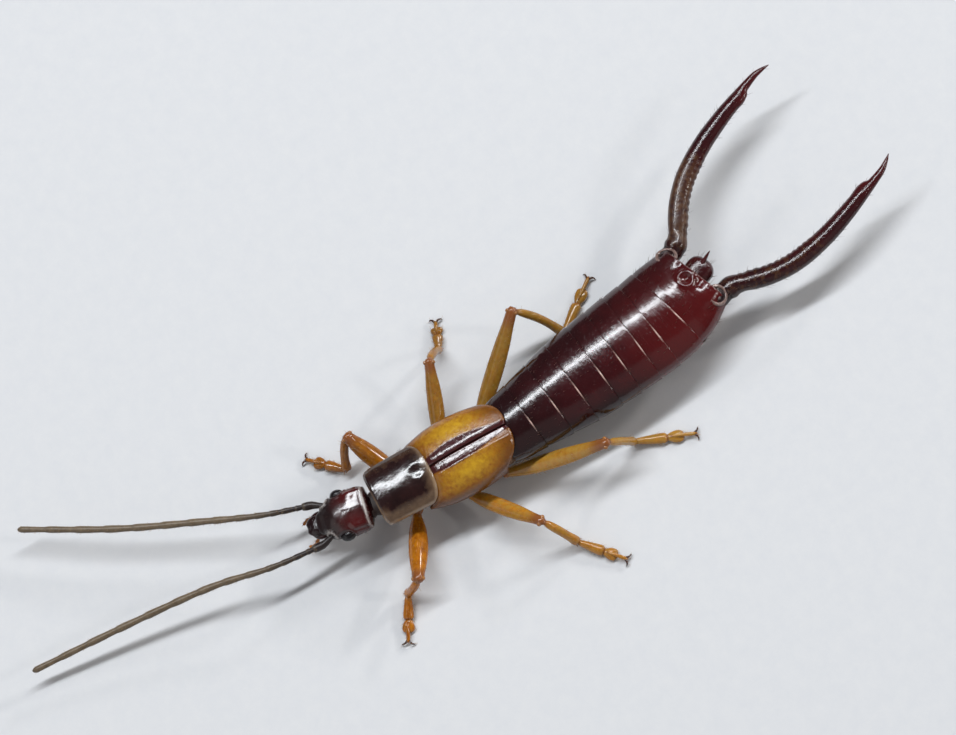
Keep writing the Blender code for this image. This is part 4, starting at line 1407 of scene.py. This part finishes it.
def leg(name, layout, material):
    """Hip, trochanter, thigh, shin with spurs, three-part foot and two claws."""
    hip_place, hip_end_place, knee_place, ankle_place, toe_place = layout
    thick, olive = LEG_LOOKS[name.split("_")[0]]
    form = Form()
    hip = at_height(hip_place, HIP_HEIGHT + 0.10)
    hip_end = at_height(hip_end_place, HIP_END_HEIGHT)
    knee = Vector(knee_place)
    ankle = at_height(ankle_place, ANKLE_HEIGHT)

    breast = Vector((hip.x * 0.55, hip.y - 0.06, 0.98))
    upper = breast.lerp(hip, 0.55) - Vector((hip.x * 0.10, 0, 0))
    coxa = smooth_path([breast, upper, hip.lerp(hip_end, 0.25), hip.lerp(hip_end, 0.96)], 14)
    form.add_sweep(coxa, COXA_SIZES, 24, 0.95, joint=COXA_TINTS)
    form.add_dome(hip_end.lerp(knee, 0.01), (0.13, 0.13, 0.125), sides=22, joint=0.55)

    shares = steps_between(0, 1.03, 40)
    femur = [hip_end.lerp(knee, share) - UP * FEMUR_SAG * sin(pi * min(share, 1)) for share in shares]
    widths, heights = zip(*[curve_value(FEMUR_ROWS, share) for share in shares])
    tint = [max(ease((share - 0.80) / 0.16), 0.8 * ease((0.06 - share) / 0.05)) for share in shares]
    form.add_sweep(femur, [thick * width for width in widths], 26,
                   heights=[thick * THIGH_FLATNESS * height for height in heights],
                   shape=lambda share, angle: 1 + 0.05 * cos(4 * angle) * sin(pi * share),
                   joint=tint, olive=olive)
    onward = (knee - hip_end).normalized()
    side = onward.cross(UP).normalized()
    for aside in (-1, 1):
        knob = knee - onward * 0.04 + side * aside * thick * 0.50
        form.add_dome(knob, (0.062, 0.062, 0.075), sides=16, rim=0.25, joint=0.5)

    down = (ankle - knee).normalized()
    bow = (onward - down * onward.dot(down)).normalized() * SHIN_BOW * (ankle - knee).length
    shares = steps_between(0, 1, 34)
    tibia = [knee.lerp(ankle, share) + bow * sin(pi * share) for share in shares]
    widths = [SHIN_THICKNESS * curve_value(TIBIA_ROWS, share)[0] for share in shares]
    tint = [max(ease((0.14 - share) / 0.10), 0.6 * ease((share - 0.9) / 0.08)) for share in shares]
    form.add_sweep(tibia, widths, 20, 0.92, joint=tint, olive=olive)
    bend = down.cross(side.cross(down)).normalized()
    for aside in (-1, 1):
        root = ankle - down * 0.03 + bend * aside * 0.07
        tip = root + down * 0.12 + bend * aside * 0.05
        form.add_sweep([root.lerp(tip, share) for share in steps_between(0, 1, 5)], SPUR_SIZES, 8, joint=0.8)

    foot(form, at_height(ankle_place, 0), at_height(toe_place, 0), olive)
    # The right legs are painted darker: painted shade on the side away from the light.
    form.masks["painted_leg_shade"] = [0.40 if name.endswith("right") else 0.0] * len(form.points)
    return make_piece("limb_" + name, form, material, ["leg_" + name])


# Share of the foot, height of its middle, half width and half height of the first segment
FIRST_TARSUS_ROWS = [
    (0.0, 0.22, 0.066, 0.066), (0.08, 0.20, 0.085, 0.085), (0.25, 0.160, 0.115, 0.105),
    (0.45, 0.128, 0.142, 0.115), (0.54, 0.120, 0.134, 0.108), (0.58, 0.122, 0.086, 0.076),
]
SECOND_TARSUS_ROWS = [
    (0.57, 0.110, 0.072, 0.060), (0.62, 0.102, 0.115, 0.080), (0.70, 0.094, 0.158, 0.090),
    (0.78, 0.086, 0.166, 0.084), (0.84, 0.078, 0.132, 0.068), (0.87, 0.070, 0.055, 0.032),
]
THIRD_TARSUS_ROWS = [
    (0.64, 0.155, 0.035, 0.035), (0.74, 0.175, 0.044, 0.044), (0.86, 0.165, 0.048, 0.046),
    (0.98, 0.130, 0.052, 0.048), (1.06, 0.115, 0.044, 0.040), (1.10, 0.110, 0.020, 0.018),
]

# Onward, aside and up from the root of the claws
CLAW_GUIDES = [(-0.02, 0.02, 0), (0.05, 0.075, 0.012), (0.075, 0.145, -0.030), (0.055, 0.185, -0.085)]
CLAW_SIZES = [0.030, 0.031, 0.030, 0.028, 0.026, 0.023, 0.020, 0.016, 0.011, 0.004]


def lobes(share, angle):
    """The second segment's parting into two lobes."""
    return 1 - 0.30 * ease((share - 0.5) / 0.4) * abs(sin(angle)) ** 6


def foot(form, start, end, olive):
    """Three segments on the floor: a long one, a two-lobed one and a slender one with two hooked claws."""
    onward = (end - start).normalized()
    aside = onward.cross(UP)
    for rows, shape in ((FIRST_TARSUS_ROWS, None), (SECOND_TARSUS_ROWS, lobes), (THIRD_TARSUS_ROWS, None)):
        first, last = rows[0][0], rows[-1][0]
        shares = steps_between(first, last, 18)
        middles, widths, heights = zip(*[curve_value(rows, share) for share in shares])
        points = [start.lerp(end, share) + UP * middle for share, middle in zip(shares, middles)]
        tint = [0.7 if share < first + 0.03 or share > last - 0.03 else 0.1 for share in shares]
        form.add_sweep(points, widths, 20, heights=heights, shape=shape, joint=tint, olive=olive)
    root = start.lerp(end, 1.06) + UP * 0.11
    for side in (-1, 1):
        claw = [root + onward * ahead + aside * side * out + UP * up for ahead, out, up in CLAW_GUIDES]
        form.add_sweep(smooth_path(claw, 10), CLAW_SIZES, 12, claw=1.0)


# Bristles: the seed of their draws, how their lengths vary, how far they stray and how they bend
HAIR_SEED = 11
HAIR_LENGTHS = (0.6, 1.25)
HAIR_STRAY = 0.15
HAIR_BEND = 0.2
HAIR_DROOP = 0.05


def add_bristle(form, root, direction, length, thickness, droop):
    """A tapered hair of solid mesh that bends as droop says."""
    side = direction.orthogonal().normalized()
    other = direction.cross(side)
    rows = []
    for share, width in ((0, 1.0), (0.5, 0.72), (1, 0.10)):
        centre = root + direction * length * share + droop * length * share * share
        rows.append([centre + (side * cos(angle) + other * sin(angle)) * thickness * width
                     for angle in turns(3)])
    form.add_grid(rows)


def anywhere(place, normal):
    return True


def add_coat(form, item, draws, count, length, thickness, lie, stand, keep=anywhere):
    """Scatters hairs over the faces that keep allows. lie is how they lean, stand how upright they are."""
    vertices = item.data.vertices
    faces = [face for face in item.data.polygons if keep((face.center - SHIFT) / MM, face.normal)]
    picked = draws.choices(faces, weights=[face.area for face in faces], k=count)
    for share, face in [(draws.random(), face) for face in picked]:
        place = vertices[face.vertices[0]].co.lerp(vertices[face.vertices[2]].co, share)
        place = (place - SHIFT) / MM
        normal = face.normal
        lean = lie(place) if callable(lie) else lie
        direction = (normal * stand + lean * (1 - stand)).normalized()
        size = length * draws.uniform(*HAIR_LENGTHS)
        jitter = Vector([draws.uniform(-1, 1) for _ in range(3)]) * HAIR_STRAY
        root = place - normal * thickness
        droop = lean * HAIR_BEND - UP * HAIR_DROOP
        add_bristle(form, root, (direction + jitter).normalized(), size, thickness, droop)


def leg_lie(layout):
    """How the hairs of a leg lie: out along it, and forward along the foot."""
    hip, knee, ankle, toe = [at_height(place, 0) for place in layout[1:]]
    onward = (toe - ankle).normalized()
    outward = (knee - hip).normalized()

    def lie(place):
        near_foot = ease(1 - ((place - ankle).length - 0.6) / 0.6)
        return (onward * near_foot + outward * (1 - near_foot) * 0.6 - UP * 0.3).normalized()

    return lie


# Hairs on a foot lie below this height, and the lowest hair tips at the other
FOOT_TOP = 0.34
LOWEST_HAIR = 0.004


def golden_hairs(pieces, draws, material):
    """Fine hairs on legs, feelers and palps, every tip above the floor."""
    form = Form()
    for name, layout in LEGS.items():
        item = pieces["limb_" + name]
        lie = leg_lie(layout)
        add_coat(form, item, draws, 150, 0.085, 0.0045, lie, 0.55, lambda place, normal: place.z < FOOT_TOP)
        add_coat(form, item, draws, 130, 0.095, 0.0045, lie, 0.5, lambda place, normal: place.z >= FOOT_TOP)
    forward = Vector((0, -1, 0))
    for side_name in ("left", "right"):
        add_coat(form, pieces["feeler_" + side_name], draws, 420, 0.055, 0.0032, forward, 0.55,
                 lambda place, normal: place.y < -3.6)
    add_coat(form, pieces["palps"], draws, 120, 0.07, 0.0035, Vector((0, -1, -0.3)).normalized(), 0.5)
    form.points = [Vector((point.x, point.y, max(point.z, LOWEST_HAIR))) for point in form.points]
    make_piece("bristles_golden", form, material)


def brown_bristles(pieces, draws, material):
    """Stiffer bristles on the plates, most of them along the hind rims of the rings."""
    backward = Vector((-sin(ABDOMEN_HEADING), cos(ABDOMEN_HEADING), 0))
    tail_back = Vector((-sin(TAIL_HEADING), cos(TAIL_HEADING), 0))
    rims = list(accumulate(SEGMENT_LENGTHS))

    def near_rim(place, normal):
        along = (place - Vector((*ABDOMEN_START, 0))).dot(backward)
        return any(0.02 < rim - along < 0.16 for rim in rims)

    def hind_face(place, normal):
        return normal.dot(tail_back) > -0.2

    def shield_side(place, normal):
        return abs(place.x) > 0.62 and normal.z > 0

    form = Form()
    for name, *coat in (
        ("abdomen_rings", 260, 0.10, 0.0045, backward, 0.35, near_rim),
        ("abdomen_rings", 240, 0.07, 0.0035, backward, 0.3),
        ("end_plate", 150, 0.16, 0.0060, tail_back, 0.5, hind_face),
        ("pygidium_plate", 40, 0.15, 0.0055, tail_back, 0.5),
        ("forceps_arm_left", 150, 0.13, 0.0045, tail_back, 0.55),
        ("forceps_arm_right", 150, 0.13, 0.0045, tail_back, 0.55),
        ("head_capsule", 110, 0.09, 0.0042, Vector((0, -1, 0)), 0.5),
        ("pronotum_shield", 60, 0.10, 0.0045, Vector((0, 1, 0)), 0.5, shield_side),
    ):
        add_coat(form, pieces[name], draws, *coat)
    make_piece("bristles_brown", form, material)


def earwig():
    """Makes every piece of the animal, and then the hairs on them."""
    dark_red = ((0.024, 0.002, 0.003), (0.044, 0.004, 0.005))
    shell = mahogany("deep mahogany abdomen", dark_red, 0.115, (55, 16, 0.5), 0.0012, (0.009, 0.075))
    warm_red = ((0.024, 0.003, 0.003), (0.056, 0.007, 0.006))
    # The head's rim colour is near white: a painted highlight on its hind rim.
    head_shell = mahogany("red mahogany head", warm_red, 0.155, (11, 12, 0.5), 0.0035, rim=(0.90, 0.82, 0.76))
    black_red = ((0.012, 0.002, 0.003), (0.026, 0.004, 0.005))
    arm_shell = mahogany("black-red forceps", black_red, 0.17, (14, 9, 0.4), 0.012)
    amber, cases, feelers, eyes = leg_finish(), wing_case_finish(), feeler_finish(), eye_finish()
    made = [
        abdomen(shell),
        end_plate(shell),
        pygidium(arm_shell),
        pronotum(shield_finish()),
        thorax(membrane_finish()),
        head(head_shell),
        mouth(arm_shell),
        palps(amber),
    ]
    for side_name, side in (("left", 1), ("right", -1)):
        for make, material in ((forceps_arm, arm_shell), (tegmen, cases), (eye, eyes), (antenna, feelers)):
            made.append(make(side_name, side, material))
    made += [leg(name, layout, amber) for name, layout in LEGS.items()]
    pieces = {item.name: item for item in made}
    draws = random.Random(HAIR_SEED)
    golden_hairs(pieces, draws, bristle_finish("golden hair", (0.30, 0.17, 0.06)))
    brown_bristles(pieces, draws, bristle_finish("brown bristle", (0.07, 0.035, 0.020)))


photo_camera()
studio()
earwig()
